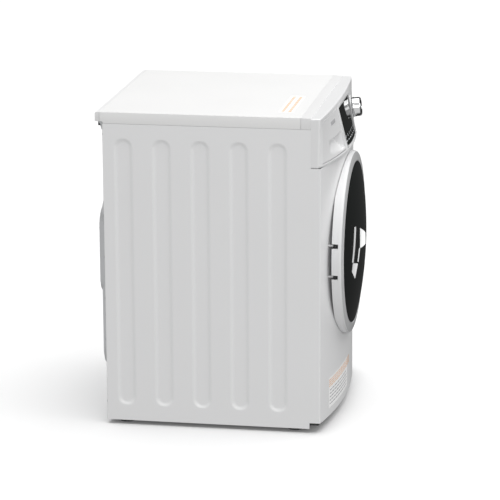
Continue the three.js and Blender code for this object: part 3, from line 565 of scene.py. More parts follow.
class WASHER_OT_side_panels(bpy.types.Operator):
    """Side panels with their pressed channels and rear flanges"""
    bl_idname = "washer.side_panels"
    bl_label = "Side panels"

    def execute(self, context):
        """Each side is a sheet over (s, z): s runs back along the side and round the rear corner. It sinks by
        depth times ease((half width - distance to a channel's spine) / slope)."""
        sizes = context.scene.washer_sizes
        rear = high("side_panel_left").y
        front = low("side_panel_left").y
        foot, top = low("side_panel_left").z, high("side_panel_left").z
        flange = HALF - 0.022
        spines = [FRONT + sizes.rib_first + k * sizes.rib_pitch for k in range(5)]
        half = sizes.rib_width / 2
        edges = [y + side * off for y in spines for side in (-1, 1)
                 for off in (half - 1.3 * sizes.rib_slope, half - 0.5 * sizes.rib_slope, half)]
        across = spread(front, FRONT + 0.028, *spines, *edges, rear - 0.004, step=0.004)
        ends = [value for z in (sizes.rib_foot, sizes.rib_head) for value in (z - 0.03, z, z + 0.03)]
        up = np.unique(np.round(np.concatenate([
            spread(foot, PANEL_FOOT, top, *ends, step=0.02),
            spread(sizes.rib_foot - 0.002, sizes.rib_foot + half + 0.002, step=0.0022),
            spread(sizes.rib_head - half - 0.002, sizes.rib_head + 0.002, step=0.0022),
        ]), 6))
        corner = fillet([(HALF, rear - 0.004), (HALF, rear), (flange, rear)], 0.003, steps=5)
        for side, name in ((-1, "side_panel_left"), (1, "side_panel_right")):
            y, z = np.meshgrid(across, up, indexing="ij")
            sink = np.zeros_like(y)
            for spine in spines:
                nearest = np.clip(z, sizes.rib_foot + half, sizes.rib_head - half)
                distance = np.hypot(y - spine, z - nearest)
                sink = np.maximum(sink, ease((half - distance) / sizes.rib_slope))
            x = HALF - sizes.rib_depth * sink
            face = np.stack([side * x, y, z], -1)
            keep = ~((y[:-1, :-1] < FRONT + 0.0279) & (z[:-1, :-1] < PANEL_FOOT - 1e-4))
            bend = np.empty((len(corner), len(up), 3))
            bend[..., 0] = side * corner[:, 0, None]
            bend[..., 1] = corner[:, 1, None]
            bend[..., 2] = up
            build(name + "_skin", [(face, keep), bend], "enamel", "cabinet", (name,),
                  inside=(0, 0, 0.4), thick=SHEET)
        return {"FINISHED"}


class WASHER_OT_front_panel(bpy.types.Operator):
    """Bowed front panel with its porthole and the filter opening"""
    bl_idname = "washer.front_panel"
    bl_label = "Front panel"

    def execute(self, context):
        """Rays from the porthole to a rectangle carry the upper part: a point is porthole (1 - v) + edge v.
        Straight grids carry the foot and the corners, whose plan is a rounded path."""
        sizes = context.scene.washer_sizes
        foot, top = low("front_panel").z, high("front_panel").z
        back = FRONT + 0.028
        r = sizes.corner_round
        inner = HALF - r
        seam = low("door_ring").z - 0.02
        hole_x = (low("filter_flap").x - 0.0008, high("filter_flap").x + 0.0008)
        hole_z = (low("filter_flap").z - 0.0014, high("filter_flap").z + 0.0008)
        xs = spread(-inner, 0, *hole_x, inner, step=0.014)
        zs = spread(seam, DOOR_Z, top, step=0.014)
        port = sizes.porthole
        edge = np.concatenate([
            np.stack([xs[:-1], np.full(len(xs) - 1, seam)], -1),
            np.stack([np.full(len(zs) - 1, inner), zs[:-1]], -1),
            np.stack([xs[:0:-1], np.full(len(xs) - 1, top)], -1),
            np.stack([np.full(len(zs), -inner), zs[::-1]], -1),
        ])
        ray = edge - (0, DOOR_Z)
        ray = ray / np.linalg.norm(ray, axis=1)[:, None]
        rim = ray * port + (0, DOOR_Z)
        v = np.linspace(0, 1, 15)[None, :, None]
        flat = rim[:, None] * (1 - v) + edge[:, None] * v
        upper = np.stack([flat[..., 0], bow(flat[..., 0], flat[..., 1]), flat[..., 1]], -1)
        middle = upper[:-1, :-1]
        latch = (abs(middle[..., 0] - 0.224) < 0.012) & (abs(middle[..., 2] - DOOR_Z) < 0.03)

        lip = np.array([(port, 0), (port - 0.0014, 0.0004), (port - 0.0028, 0.0016), (port - 0.0034, 0.0034)])
        neck = np.empty((len(ray), 7, 3))
        neck[:, :4, 0] = ray[:, :1] * lip[:, 0]
        neck[:, :4, 2] = DOOR_Z + ray[:, 1:] * lip[:, 0]
        neck[:, :4, 1] = bow(rim[:, :1], rim[:, 1:]) + lip[:, 1]
        deep = np.array([(port - 0.004, -0.0085), (port - 0.0055, -0.007), (0.186, -0.0068)])
        neck[:, 4:, 0] = ray[:, :1] * deep[:, 0]
        neck[:, 4:, 2] = DOOR_Z + ray[:, 1:] * deep[:, 0]
        neck[:, 4:, 1] = FRONT + deep[:, 1]

        low_z = spread(foot, *hole_z, seam, step=0.014)
        lower = front_grids(xs, low_z, 0)
        cell = lower[:-1, :-1]
        opening = ((cell[..., 0] > hole_x[0] - 1e-6) & (cell[..., 0] < hole_x[1] - 1e-6)
                   & (cell[..., 2] > hole_z[0] - 1e-6) & (cell[..., 2] < hole_z[1] - 1e-6))

        plan = fillet([(inner, 0), (HALF, 0), (HALF, back - FRONT)], r * 0.98, steps=7)
        straight = [(HALF, depth) for depth in (0.0065, 0.009, 0.014)]
        plan = np.vstack([plan[:-1], straight, plan[-1:]])
        wraps = []
        for side in (-1, 1):
            for heights in (zs, low_z):
                x = np.repeat(side * plan[:, :1], len(heights), 1)
                z = np.repeat(heights[None], len(plan), 0)
                y = bow(x, z) + plan[:, 1:]
                wraps.append(np.stack([x, y, z], -1))
        build("front_panel_skin", [(upper, ~latch), neck, (lower, ~opening), *wraps], "enamel", "cabinet",
              ("front_panel",), inside=(0, 0, 0.1), thick=SHEET)
        # A black strip set back under the front panel's foot: painted shade for the dark gap under the front.
        reach = HALF - 0.003
        heights = np.array([foot - 0.0065, foot - 0.0055, foot + 0.004, foot + 0.03])
        across = spread(-reach, reach, step=0.02)
        x = np.concatenate([[-reach] * 3, across, [reach] * 3])
        back_off = np.concatenate([[0.3, 0.05, 0.01], np.zeros(len(across)), [0.01, 0.05, 0.3]])
        x, z = np.meshgrid(x, heights, indexing="ij")
        shade_strip = np.stack([x, bow(x, z) + 0.006 + back_off[:, None], z], -1)
        build("front_plinth", [shade_strip], "black_plastic", "cabinet", inside=(0, 0, 0.03),
              thick=0.002)
        frame_x, frame_z = (0.2135, 0.2325), (DOOR_Z - 0.024, DOOR_Z + 0.024)
        outline = rounded_outline(*frame_x, *frame_z, 0.003)
        section = [(-0.001, 0.010), (0, 0), (0, -0.0012), (0.0015, -0.0022), (0.0085, -0.0022),
                   (0.0095, -0.0008), (0.0095, 0.002)]
        build("latch_bezel", [moulding(outline, section)], "black_plastic", "cabinet",
              inside=None)
        return {"FINISHED"}


def rounded_outline(x0, x1, z0, z1, r, arc=5):
    """A closed rectangle with round corners in X and Z, anticlockwise, first point repeated."""
    points = fillet([(x0, z0), (x1, z0), (x1, z1), (x0, z1)], r, steps=arc, closed=True)
    return np.vstack([points, points[:1]])


def moulding(outline, section):
    """A strip round an outline on the bowed front: the point moves out along the outline's normal by the
    section's first value, and back from the bow by its second."""
    along = np.roll(outline[:-1], -1, 0) - np.roll(outline[:-1], 1, 0)
    along /= np.linalg.norm(along, axis=1)[:, None]
    normal = np.stack([along[:, 1], -along[:, 0]], -1)
    normal = np.vstack([normal, normal[:1]])
    off, back = np.asarray(section, float).T
    flat = outline[:, None] + normal[:, None] * off[None, :, None]
    y = bow(flat[..., 0], flat[..., 1]) + back
    return np.stack([flat[..., 0], y, flat[..., 1]], -1)


class WASHER_OT_control_panel(bpy.types.Operator):
    """Control panel moulding with openings for the drawer and the display"""
    bl_idname = "washer.control_panel"
    bl_label = "Control panel"

    def execute(self, context):
        """A box with round edges whose face lies on the bow. Its foot is stepped back a little, and its two
        ends fall back more and more towards the foot."""
        back = min(FRONT + 0.025, low("worktop").y - 0.00005)
        gap = 0.0008                            # round the drawer; half of it round the display
        step_depth, step_width = 0.0009, 0.0008
        fall_top, fall_foot, fall_reach = 0.0015, 0.0065, 0.03
        drawer = (low("drawer_front").x - gap, high("drawer_front").x + gap)
        drawer_z = (low("drawer_front").z - gap, high("drawer_front").z + gap)
        window = (low("display_window").x - gap / 2, high("display_window").x + gap / 2)
        window_z = (low("display_window").z - gap / 2, high("display_window").z + gap / 2)
        groove = PANEL_FOOT + 0.0045

        def dig(x, z):
            """The step along the foot and the fall of the ends."""
            step = step_depth * ease((groove - z) / step_width)
            end = np.clip((abs(x) - (HALF - fall_reach)) / fall_reach, 0, 1)
            share = np.clip((PANEL_HEAD - z) / (PANEL_HEAD - PANEL_FOOT), 0, 1)
            return step + (fall_top + (fall_foot - fall_top) * share) * end ** 3

        ends = [side * (HALF - 0.004 * k) for side in (-1, 1) for k in range(1, 8)]
        grids = bowed_block(-HALF, HALF, PANEL_FOOT, PANEL_HEAD, 0, back, 0.0035, dig=dig, step=0.008,
                            lines=((*drawer, *window, *ends),
                                   (groove - 0.0009, groove, groove + 0.0004, *drawer_z, *window_z)))
        face = grids[2]
        cell = face[:-1, :-1]

        def inside(xs, zs):
            """Cells of the face between two x and two heights."""
            return ((cell[..., 0] > xs[0] - 1e-6) & (cell[..., 0] < xs[1] - 1e-6)
                    & (cell[..., 2] > zs[0] - 1e-6) & (cell[..., 2] < zs[1] - 1e-6))

        keep = ~(inside(drawer, drawer_z) | inside(window, window_z))
        sheets = [grids[0], grids[1], (face, keep), grids[4], grids[5]]
        build("control_panel_shell", sheets, "white_plastic", "cabinet", ("control_panel",),
              inside=(0, 0, 0.78), thick=0.002)
        return {"FINISHED"}


def extruded(outline, radius, x0, x1, r=0.0005):
    """A (y, z) outline with round corners, carried from x0 to x1: towards each end it draws in by
    r (1 - cos t) while x advances by r sin t, and the end is filled to the outline's middle."""
    loop = looped(fillet(outline, radius, steps=5, closed=True))
    along = np.roll(loop[:-1], -1, 0) - np.roll(loop[:-1], 1, 0)
    along /= np.maximum(np.linalg.norm(along, axis=1), 1e-9)[:, None]
    inwards = np.stack([-along[:, 1], along[:, 0]], -1)
    inwards = np.vstack([inwards, inwards[:1]])
    t = np.linspace(0, math.pi / 2, 5)
    x = np.concatenate([x0 + r * (1 - np.sin(t[::-1])), spread(x0 + 2 * r, x1 - 2 * r, step=0.05),
                        x1 - r * (1 - np.sin(t))])
    draw = np.concatenate([r * (1 - np.cos(t[::-1])), np.zeros(len(x) - 10), r * (1 - np.cos(t))])
    section = loop[None] + draw[:, None, None] * inwards[None]
    grid = np.concatenate([np.broadcast_to(x[:, None, None], (*section.shape[:2], 1)), section], -1)
    grids = [grid]
    for end in (grid[0], grid[-1]):
        middle = end.copy()
        middle[:, 2] = (end[:, 2].min() + end[:, 2].max()) / 2
        grids.append(np.stack([end, middle], 0))
    return grids


class WASHER_OT_worktop(bpy.types.Operator):
    """Worktop: a laminated board with plastic edges at the front and the rear"""
    bl_idname = "washer.worktop"
    bl_label = "Worktop"

    def execute(self, context):
        """Three extruded profiles one behind another, and a wedge at each end under the rear overhang."""
        front, rear = low("worktop").y, high("worktop").y
        foot, top = low("worktop").z, high("worktop").z
        band, strip = front + 0.0268, rear - 0.012
        board = [(band + 0.00002, foot), (rear - 0.0215, foot), (rear - 0.018, foot + 0.0055),
                 (strip - 0.0001, foot + 0.0055), (strip - 0.0001, top), (band + 0.00002, top)]
        edge = [(front, foot), (band - 0.00002, foot), (band - 0.00002, top - 0.0002), (front, top - 0.0008)]
        back = [(strip + 0.0001, foot + 0.0055), (rear, foot + 0.0055), (rear, top - 0.003),
                (rear - 0.003, top - 0.0001), (strip + 0.0001, top - 0.0001)]
        build("worktop_board", extruded(board, 0.0004, -HALF, HALF), "lid_board", "cabinet",
              ("worktop",), sharp=30)
        build("worktop_front_edge", extruded(edge, (0.0015, 0.0002, 0.0004, 0.0008), -HALF, HALF), "lid_edge",
              "cabinet", sharp=30)
        build("worktop_rear_edge", extruded(back, (0.0003, 0.002, 0.001, 0.001, 0.0003), -HALF, HALF),
              "lid_edge", "cabinet", sharp=30)
        body = high("side_panel_left").y
        wedge = [(body + 0.0003, foot - 0.017), (body + 0.0025, foot - 0.017), (body + 0.006, foot - 0.004),
                 (body + 0.0125, foot + 0.005), (body + 0.0003, foot + 0.005)]
        for side, name in ((-1, "left"), (1, "right")):
            ends = sorted((side * (HALF - 0.004), side * (HALF - 0.022)))
            build("worktop_clip_" + name, extruded(wedge, 0.0012, *ends, r=0.001), "inner_plastic", "cabinet",
                  sharp=30)
        return {"FINISHED"}


class WASHER_OT_rear_cover(bpy.types.Operator):
    """Pressed service cover on the back, and the screws that hold the back"""
    bl_idname = "washer.rear_cover"
    bl_label = "Rear cover and screws"

    def execute(self, context):
        """y = rim + field ease(d1 / slope) + boss ease(d2 / slope), d1 and d2 being the distances inside two
        rounded rectangles."""
        lo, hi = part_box("rear_service_cover")
        base = lo.y + 0.0015

        def inside(x, z, x0, x1, z0, z1, r):
            """Distance to the edge of a rounded rectangle, positive inside."""
            dx = abs(x - (x0 + x1) / 2) - (x1 - x0) / 2 + r
            dz = abs(z - (z0 + z1) / 2) - (z1 - z0) / 2 + r
            outer = np.hypot(np.maximum(dx, 0), np.maximum(dz, 0))
            return r - outer - np.minimum(np.maximum(dx, dz), 0)

        s = spread(-1, 1, step=0.0125)
        t = spread(-1, 1, step=0.0125)
        u, w = np.meshgrid(s, t, indexing="ij")
        corner = 0.07
        x = u * hi.x
        z = (lo.z + hi.z) / 2 + w * (hi.z - lo.z) / 2
        ex = np.maximum(abs(x) - (hi.x - corner), 0)
        ez = np.maximum(abs(z - (lo.z + hi.z) / 2) - ((hi.z - lo.z) / 2 - corner), 0)
        reach = np.maximum(ex, ez) / np.maximum(np.hypot(ex, ez), 1e-9)
        both = (ex > 0) & (ez > 0)
        x = np.where(both, np.sign(x) * (hi.x - corner + ex * reach), x)
        z = np.where(both, (lo.z + hi.z) / 2 + np.sign(w) * ((hi.z - lo.z) / 2 - corner + ez * reach), z)
        field = ease(inside(x, z, lo.x + 0.006, hi.x - 0.006, lo.z + 0.007, hi.z - 0.007, 0.055) / 0.005)
        boss = ease(inside(x, z, lo.x + 0.008, hi.x - 0.008, lo.z + 0.206, hi.z - 0.03, 0.05) / 0.006)
        bead = sum(ease(1 - abs(z - (lo.z + 0.07 + k * 0.05)) / 0.008) * ease((0.17 - abs(x)) / 0.02)
                   for k in range(3))
        total = hi.y - base - 0.0008
        rise = (0.6 * total) * field + (0.4 * total) * boss - 0.0025 * bead
        pressing = np.stack([x, base + rise, z], -1)
        build("rear_cover_pressing", [pressing], "galvanised", "cabinet",
              ("rear_service_cover",), inside=(0, 0, 0.4), thick=SHEET)

        heads = []
        rear = base
        for k in range(4):
            for side in (-1, 1):
                heads.append((side * (hi.x - 0.007), rear, lo.z + 0.09 + k * 0.113))
        for k in range(3):
            for z_head in (lo.z + 0.008, hi.z - 0.008):
                heads.append((-0.15 + 0.15 * k, rear, z_head))
        for side in (-1, 1):
            for z_head in (0.06, 0.3, 0.55, 0.79):
                heads.append((side * 0.288, high("side_panel_left").y, z_head))
        cross = capped(fillet([(0.0001, 0.0012), (0.0012, 0.0012), (0.0014, 0.0026), (0.0036, 0.0022),
                               (0.0042, 0.0002), (0.0042, 0.0)], 0.0005, steps=3))
        build("rear_screws", [lathe_about(cross, head, (0, 1, 0), sides=12) for head in heads], "steel",
              "cabinet", inside=None)
        return {"FINISHED"}


class WASHER_OT_feet(bpy.types.Operator):
    """Levelling feet: rubber pads, studs and nuts"""
    bl_idname = "washer.feet"
    bl_label = "Feet"

    def execute(self, context):
        """A pad profile and a stud turned about the upright axis, with a six-sided nut."""
        for name, body in (("foot_front_left", "foot_fl"), ("foot_front_right", "foot_fr"),
                           ("foot_rear_left", "foot_rl"), ("foot_rear_right", "foot_rr")):
            lo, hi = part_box(name)
            at = ((lo.x + hi.x) / 2, (lo.y + hi.y) / 2, 0)
            pad = capped(fillet([(0.0205, 0.0), (0.022, 0.0035), (0.022, 0.0085), (0.0185, 0.0108),
                                 (0.009, 0.0108)], 0.0012, steps=3))
            build(name + "_pad", [lathe_about(pad, at, (0, 0, 1), 40)], "black_plastic", body,
                  (name,), inside=(at[0], at[1], 0.005))
            turns = np.linspace(0, 26, 160)
            thread = capped(np.stack([0.0047 + 0.0003 * np.cos(2 * math.pi * turns),
                                      0.0105 + turns * 0.00105], -1))
            nut = capped([(0.0098, 0.0118), (0.0104, 0.0124), (0.0104, 0.0158), (0.0098, 0.0164)])
            shift = (at[0], at[1], -0.0008)
            build(name + "_stud", [lathe_about(thread, at, (0, 0, 1), 16)], "steel", body,
                  inside=(at[0], at[1], 0.02))
            build(name + "_nut", [lathe_about(nut, shift, (0, 0, 1), 6)], "steel", body,
                  inside=(at[0], at[1], 0.0135), sharp=20)
        return {"FINISHED"}


# ---- door --------------------------------------------------------------------------------

def dome_depth(r):
    """Y of the door glass at radius r: a ball of radius (R^2 + h^2) / 2h whose cap is h high."""
    apex = low("door_glass_cover").y
    rise = low("door_ring").y - apex
    ball = (GLASS_R ** 2 + rise ** 2) / (2 * rise)
    return apex + ball - np.sqrt(ball ** 2 - np.asarray(r) ** 2)


class WASHER_OT_door(bpy.types.Operator):
    """Door: ring, lip, tinted glass, inner frame, bowl and hinge parts"""
    bl_idname = "washer.door"
    bl_label = "Door"

    def execute(self, context):
        """The ring is a turned profile whose rear edge is cut off along the bowed front; everything else is
        a plain turned profile about the door's axis."""
        lip = low("door_ring").y
        centre = (low("door_hinge_pin").z + high("door_hinge_pin").z) / 2
        knuckles = [centre - 0.042, centre + 0.042]
        half, notch = 0.0052, 0.0058
        notch_y = FRONT - 0.0386
        stops = []
        for z in knuckles:
            for edge in (z - notch, z + notch):
                angle = math.pi - math.asin((edge - DOOR_Z) / DOOR_R)
                stops += [angle - 0.0006, angle + 0.0006]
        t = spread(0, *stops, 2 * math.pi, step=2 * math.pi / 160)
        profile = fillet([
            (DOOR_R, FRONT - 0.018), (DOOR_R, lip + 0.0085), (DOOR_R - 0.0028, lip + 0.0036),
            (GLASS_R + 0.0034, lip), (GLASS_R + 0.0008, lip + 0.0012), (GLASS_R + 0.0008, lip + 0.0045),
            (DOOR_R - 0.006, lip + 0.008), (DOOR_R - 0.003, lip + 0.011), (DOOR_R - 0.003, FRONT - 0.018),
        ], (0, 0.006, 0.004, 0.0016, 0.0006, 0.0006, 0.003, 0.003, 0), steps=6)
        profile = looped(profile)
        r, y = profile.T
        x = np.cos(t)[:, None] * r
        z = DOOR_Z + np.sin(t)[:, None] * r
        back = np.minimum(FRONT - 0.022, bow(x, z) - 0.0016)
        for height in knuckles:
            side = (abs(DOOR_R * np.sin(t) + DOOR_Z - height) < notch + 1e-5) & (np.cos(t) < 0)
            back = np.where(side[:, None], np.minimum(back, notch_y), back)
        ring = np.stack([x, np.minimum(y, back), z], -1)
        split = int(np.argmin(abs(profile[:, 0] - (DOOR_R - 0.0032)) + abs(profile[:, 1] - (lip + 0.0042))))
        split_in = int(np.argmax((profile[:, 1] > lip + 0.0043) & (profile[:, 0] < GLASS_R + 0.0012)))
        wall = [ring[:, :split + 1], ring[:, split_in:]]
        build("door_ring_wall", wall, "white_plastic", "door", ("door_ring",),
              inside=(0, FRONT, DOOR_Z), sharp=50)
        turn_faces("door_ring_wall", inside_out)
        build("door_ring_lip", [ring[:, split:split_in + 1]], "door_silver", "door", (),
              inside=None, sharp=50)
        turn_faces("door_ring_lip", inside_out)

        radii = GLASS_R * np.sin(np.linspace(0, math.pi / 2, 40))
        outside = np.stack([radii, dome_depth(radii)], -1)
        rim = outside[-1]
        thick = 0.0034
        inner = np.stack([radii[::-1], dome_depth(radii[::-1]) + thick], -1)
        edge = [(rim[0] - 0.0002, rim[1] + 0.0008), (rim[0] - 0.0002, rim[1] + thick - 0.0006)]
        build("door_glass", [lathe(np.vstack([outside, edge, inner[1:]]), 128)], "black_glass", "door",
              ("door_glass_cover",), inside=None, sharp=40)
        plate = fillet([(0.184, FRONT - 0.0101), (0.184, FRONT - 0.0374), (0.238, FRONT - 0.0374),
                        (0.238, FRONT - 0.042), (0.16, FRONT - 0.042), (0.16, FRONT - 0.0374),
                        (0.168, FRONT - 0.0374), (0.168, FRONT - 0.0101)],
                       (0.002, 0.003, 0.0015, 0.0015, 0.001, 0.001, 0.002, 0.0015), steps=4, closed=True)
        build("door_inner_frame", [lathe(looped(plate), 96)], "inner_plastic", "door",
              ("door_inner_ring",))
        lo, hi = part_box("door_bowl")
        bowl = fillet([
            (0, hi.y - 0.0003), (0.112, hi.y - 0.008), (0.136, hi.y - 0.020), (0.1585, lo.y + 0.0058),
            (0.183, lo.y + 0.0058), (0.183, lo.y), (0.1535, lo.y), (0.1315, hi.y - 0.0245),
            (0.109, hi.y - 0.013), (0, hi.y - 0.005),
        ], (0, 0.03, 0.03, 0.006, 0.0015, 0.0015, 0.006, 0.03, 0.03, 0), steps=6)
        build("door_bowl_glass", [lathe(bowl, 96)], "clear_glass", "door", ("door_bowl",))

        arm_lo, arm_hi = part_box("door_hinge_arm")
        arm = rounded_box((arm_lo.x + 0.005, arm_lo.y + 0.0002, arm_lo.z),
                          (arm_hi.x, arm_hi.y - 0.005, arm_hi.z), 0.0015)
        pin_lo, pin_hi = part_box("door_hinge_pin")
        pin_at = ((pin_lo.x + pin_hi.x) / 2, (pin_lo.y + pin_hi.y) / 2, 0)
        barrel = fillet([(0.0034, arm_lo.z), (0.0049, arm_lo.z), (0.0049, arm_hi.z), (0.0034, arm_hi.z)],
                        0.0006, steps=3, closed=True)
        build("door_hinge_leaf", [*arm, lathe_about(looped(barrel), pin_at, (0, 0, 1), 24)], "steel", "door",
              ("door_hinge_arm",))
        barrels, stubs = [], []
        for height in knuckles:
            barrels.append(lathe_about(capped(fillet([
                (0.0044, height - half), (0.0058, height - half), (0.0058, height + half),
                (0.0044, height + half)], 0.0006, steps=3)), pin_at, (0, 0, 1), 28))
            stubs += rounded_box((pin_at[0] + 0.001, pin_at[1] + 0.003, height - 0.0014),
                                 (-0.2262, FRONT, height + 0.0014), 0.0004)
        build("door_hinge_knuckles", barrels, "black_plastic", "cabinet",
              ("door_hinge_bracket", "door_hinge_pin"))
        build("door_hinge_stubs", stubs, "white_plastic", "cabinet")
        hook_lo, hook_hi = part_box("door_latch_hook")
        hook = [*rounded_box((0.219, hook_lo.y, hook_lo.z), (0.225, hook_hi.y, hook_hi.z), 0.0012),
                *rounded_box((0.216, hook_hi.y - 0.006, hook_lo.z + 0.0006), (0.2215, hook_hi.y - 0.0002,
                             hook_hi.z - 0.0006), 0.0014)]
        build("door_hook", hook, "steel", "door_latch", ("door_latch_hook",))
        return {"FINISHED"}


def turn_faces(name, wrong_way):
    """Reverses a piece's faces where the test, given its bmesh, says that they face the wrong way."""
    mesh = bpy.data.objects[name].data
    work = bmesh.new()
    work.from_mesh(mesh)
    if wrong_way(work):
        bmesh.ops.reverse_faces(work, faces=work.faces)
        work.to_mesh(mesh)
    work.free()


def inside_out(work):
    """Whether the signed volume is negative."""
    return work.calc_volume(signed=True) < 0


def faces_away(work):
    """Whether the faces mostly look away from the door's axis, which is the drum's too."""
    return sum(f.normal.x * f.calc_center_median().x + f.normal.z * (f.calc_center_median().z - DOOR_Z)
               for f in work.faces) > 0


class WASHER_OT_seal(bpy.types.Operator):
    """Rubber bellows between the porthole and the drum"""
    bl_idname = "washer.seal"
    bl_label = "Door seal"

    def execute(self, context):
        """A folded profile turned about the door's axis."""
        lo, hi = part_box("door_seal")
        start = lo.y
        outline = fillet([
            (0.1606, start), (0.1978, start), (0.1978, start + 0.037), (0.1815, start + 0.037),
            (0.1815, start + 0.052), (0.1900, start + 0.052), (0.1900, hi.y), (0.1782, hi.y),
            (0.1782, start + 0.0342), (0.194, start + 0.0342), (0.194, start + 0.0034),
            (0.164, start + 0.0034),
            (0.164, start + 0.012), (0.1606, start + 0.012),
        ], 0.0022, steps=5, closed=True)
        build("door_bellows", [lathe(looped(outline), 96)], "grey_rubber", "cabinet",
              ("door_seal",))
        return {"FINISHED"}


class WASHER_OT_drum(bpy.types.Operator):
    """Drum: brushed wall with rows of holes, and three lifters"""
    bl_idname = "washer.drum"
    bl_label = "Drum"

    def execute(self, context):
        """The wall is a turned profile. The holes are small cups painted black on its inner face, painted
        shade for the dark seen through real holes, staggered row by row; each lifter is an arched section
        carried back along the drum."""
        lo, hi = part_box("drum_shell")
        R, wall = hi.x, 0.001
        shell = fillet([
            (0.0, hi.y), (R, hi.y), (R, lo.y + 0.006), (R - 0.006, lo.y), (0.182, lo.y),
            (0.172, lo.y + 0.010), (0.1732, lo.y + 0.011), (0.1825, lo.y + wall),
            (R - 0.0066, lo.y + wall), (R - wall, lo.y + 0.0066),
            (R - wall, hi.y - wall), (0.0, hi.y - wall),
        ], (0, 0.004, 0.004, 0.004, 0.005, 0.0004, 0.0004, 0.004, 0.003, 0.003, 0.003, 0), steps=4)
        build("drum_wall", [lathe(shell, 120)], "drum_steel", "drum", ("drum_shell",))

        rows, around = 12, 54
        depth = np.linspace(lo.y + 0.03, hi.y - 0.03, rows)
        cups = []
        a = np.linspace(0, 2 * math.pi, 9)[:, None]
        radius = np.array([0.0, 0.0014, 0.0021])
        lift = np.array([0.0001, 0.0001, 0.0006])
        for row, y in enumerate(depth):
            for k in range(around):
                t = (k + 0.5 * (row % 2)) * 2 * math.pi / around
                near = abs((t - math.pi / 2 * 3 + math.pi / 3) % (2 * math.pi / 3) - math.pi / 3)
                if near < 0.16 and lo.y + 0.025 < y < hi.y - 0.025:
                    continue
                inward = R - wall - lift
                side = radius * np.cos(a)
                cups.append(np.stack([inward * math.cos(t) - side * math.sin(t), y + radius * np.sin(a),
                                      DOOR_Z + inward * math.sin(t) + side * math.cos(t)], -1))
        # The cups are black: painted shade for the dark seen behind real holes.
        build("drum_holes", cups, "black_plastic", "drum", inside=(0, 0, DOOR_Z))
        turn_faces("drum_holes", faces_away)

        half = fillet([(0.034, 0.0072), (0.024, 0.0085), (0.0115, 0.026), (0.0085, 0.047), (0.0, 0.0525)],
                      (0, 0.012, 0.02, 0.012, 0), steps=5)
        section = np.vstack([half, half[-2::-1] * (-1, 1)])
        ends = spread(0, 0.25, step=0.02)
        for k, name in enumerate(("drum_lifter_a", "drum_lifter_b", "drum_lifter_c")):
            box_lo, box_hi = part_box(name)
            at = ((box_lo.x + box_hi.x) / 2, (box_lo.z + box_hi.z) / 2 - DOOR_Z)
            turn = math.atan2(at[0], -at[1])
            taper = np.concatenate([[0.0, 0.55, 0.82, 0.95], np.ones(len(ends) - 2), [0.95, 0.82, 0.55, 0.0]])
            y = box_lo.y + 0.0005 + np.concatenate(
                [[0, 0, 0.003, 0.01], ends[1:-1] * 0.999, [0.24, 0.246, 0.249, 0.249]])
            y = np.sort(y)[:len(taper)]
            across = section[None, :, 0] * (0.6 + 0.4 * taper[:, None])
            up = 0.0072 + (section[None, :, 1] - 0.0072) * taper[:, None]
            x = across * math.cos(turn) + (R - up) * math.sin(turn)
            z = DOOR_Z + across * math.sin(turn) - (R - up) * math.cos(turn)
            grid = np.stack([x, np.broadcast_to(y[:, None], x.shape), z], -1)
            build(name + "_paddle", [grid], "inner_plastic", "drum", (name,),
                  inside=(R * math.sin(turn), (box_lo.y + box_hi.y) / 2, DOOR_Z - R * math.cos(turn)))
        return {"FINISHED"}


# ---- drawer, display and knob ------------------------------------------------------------

class WASHER_OT_drawer(bpy.types.Operator):
    """Front of the detergent drawer with its finger scoop and badge"""
    bl_idname = "washer.drawer"
    bl_label = "Detergent drawer"

    def execute(self, context):
        """The bowed block sinks inside the scoop: to a floor that slopes from the face at the foot to its
        deepest line near the top, with side walls eased over the wall width."""
        lo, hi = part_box("drawer_front")
        rear = hi.y
        x0, x1 = lo.x + 0.057, hi.x - 0.007
        z_foot, z_deep, z_head = lo.z + 0.0045, lo.z + 0.040, lo.z + 0.0495
        wall = 0.0022
        floor_start, floor_drop = FRONT - 0.031, 0.040

        def dig(x, z):
            """How far the scoop sinks below the bow."""
            floor = floor_start + floor_drop * np.clip((z - z_foot) / (z_deep - z_foot), 0, 1)
            sides = ease((x - x0) / wall) * ease((x1 - x) / wall)
            ends = ease((z_head - z) / wall) * ease((z - z_foot) / wall)
            return np.maximum(floor - bow(x, z), 0) * sides * ends

        quarters = [wall * k / 4 for k in range(5)]
        fine = [x0 + q for q in quarters] + [x1 - q for q in quarters]
        fine_z = [z_head - q for q in quarters] + [z_foot + q for q in quarters] + [z_deep]
        grids = bowed_block(lo.x, hi.x, lo.z, hi.z, 0, rear, 0.0014, lines=(fine, fine_z), dig=dig,
                            step=0.006)
        build("drawer_face", grids, "white_plastic", "drawer", ("drawer_front",),
              inside=(lo.x + 0.02, rear - 0.01, (lo.z + hi.z) / 2))
        badge = bowed_block(lo.x + 0.094, lo.x + 0.144, hi.z - 0.0275, hi.z - 0.0175, -0.0006,
                            FRONT - 0.003, 0.0006)
        build("drawer_badge", badge, "badge_grey", "drawer")
        return {"FINISHED"}


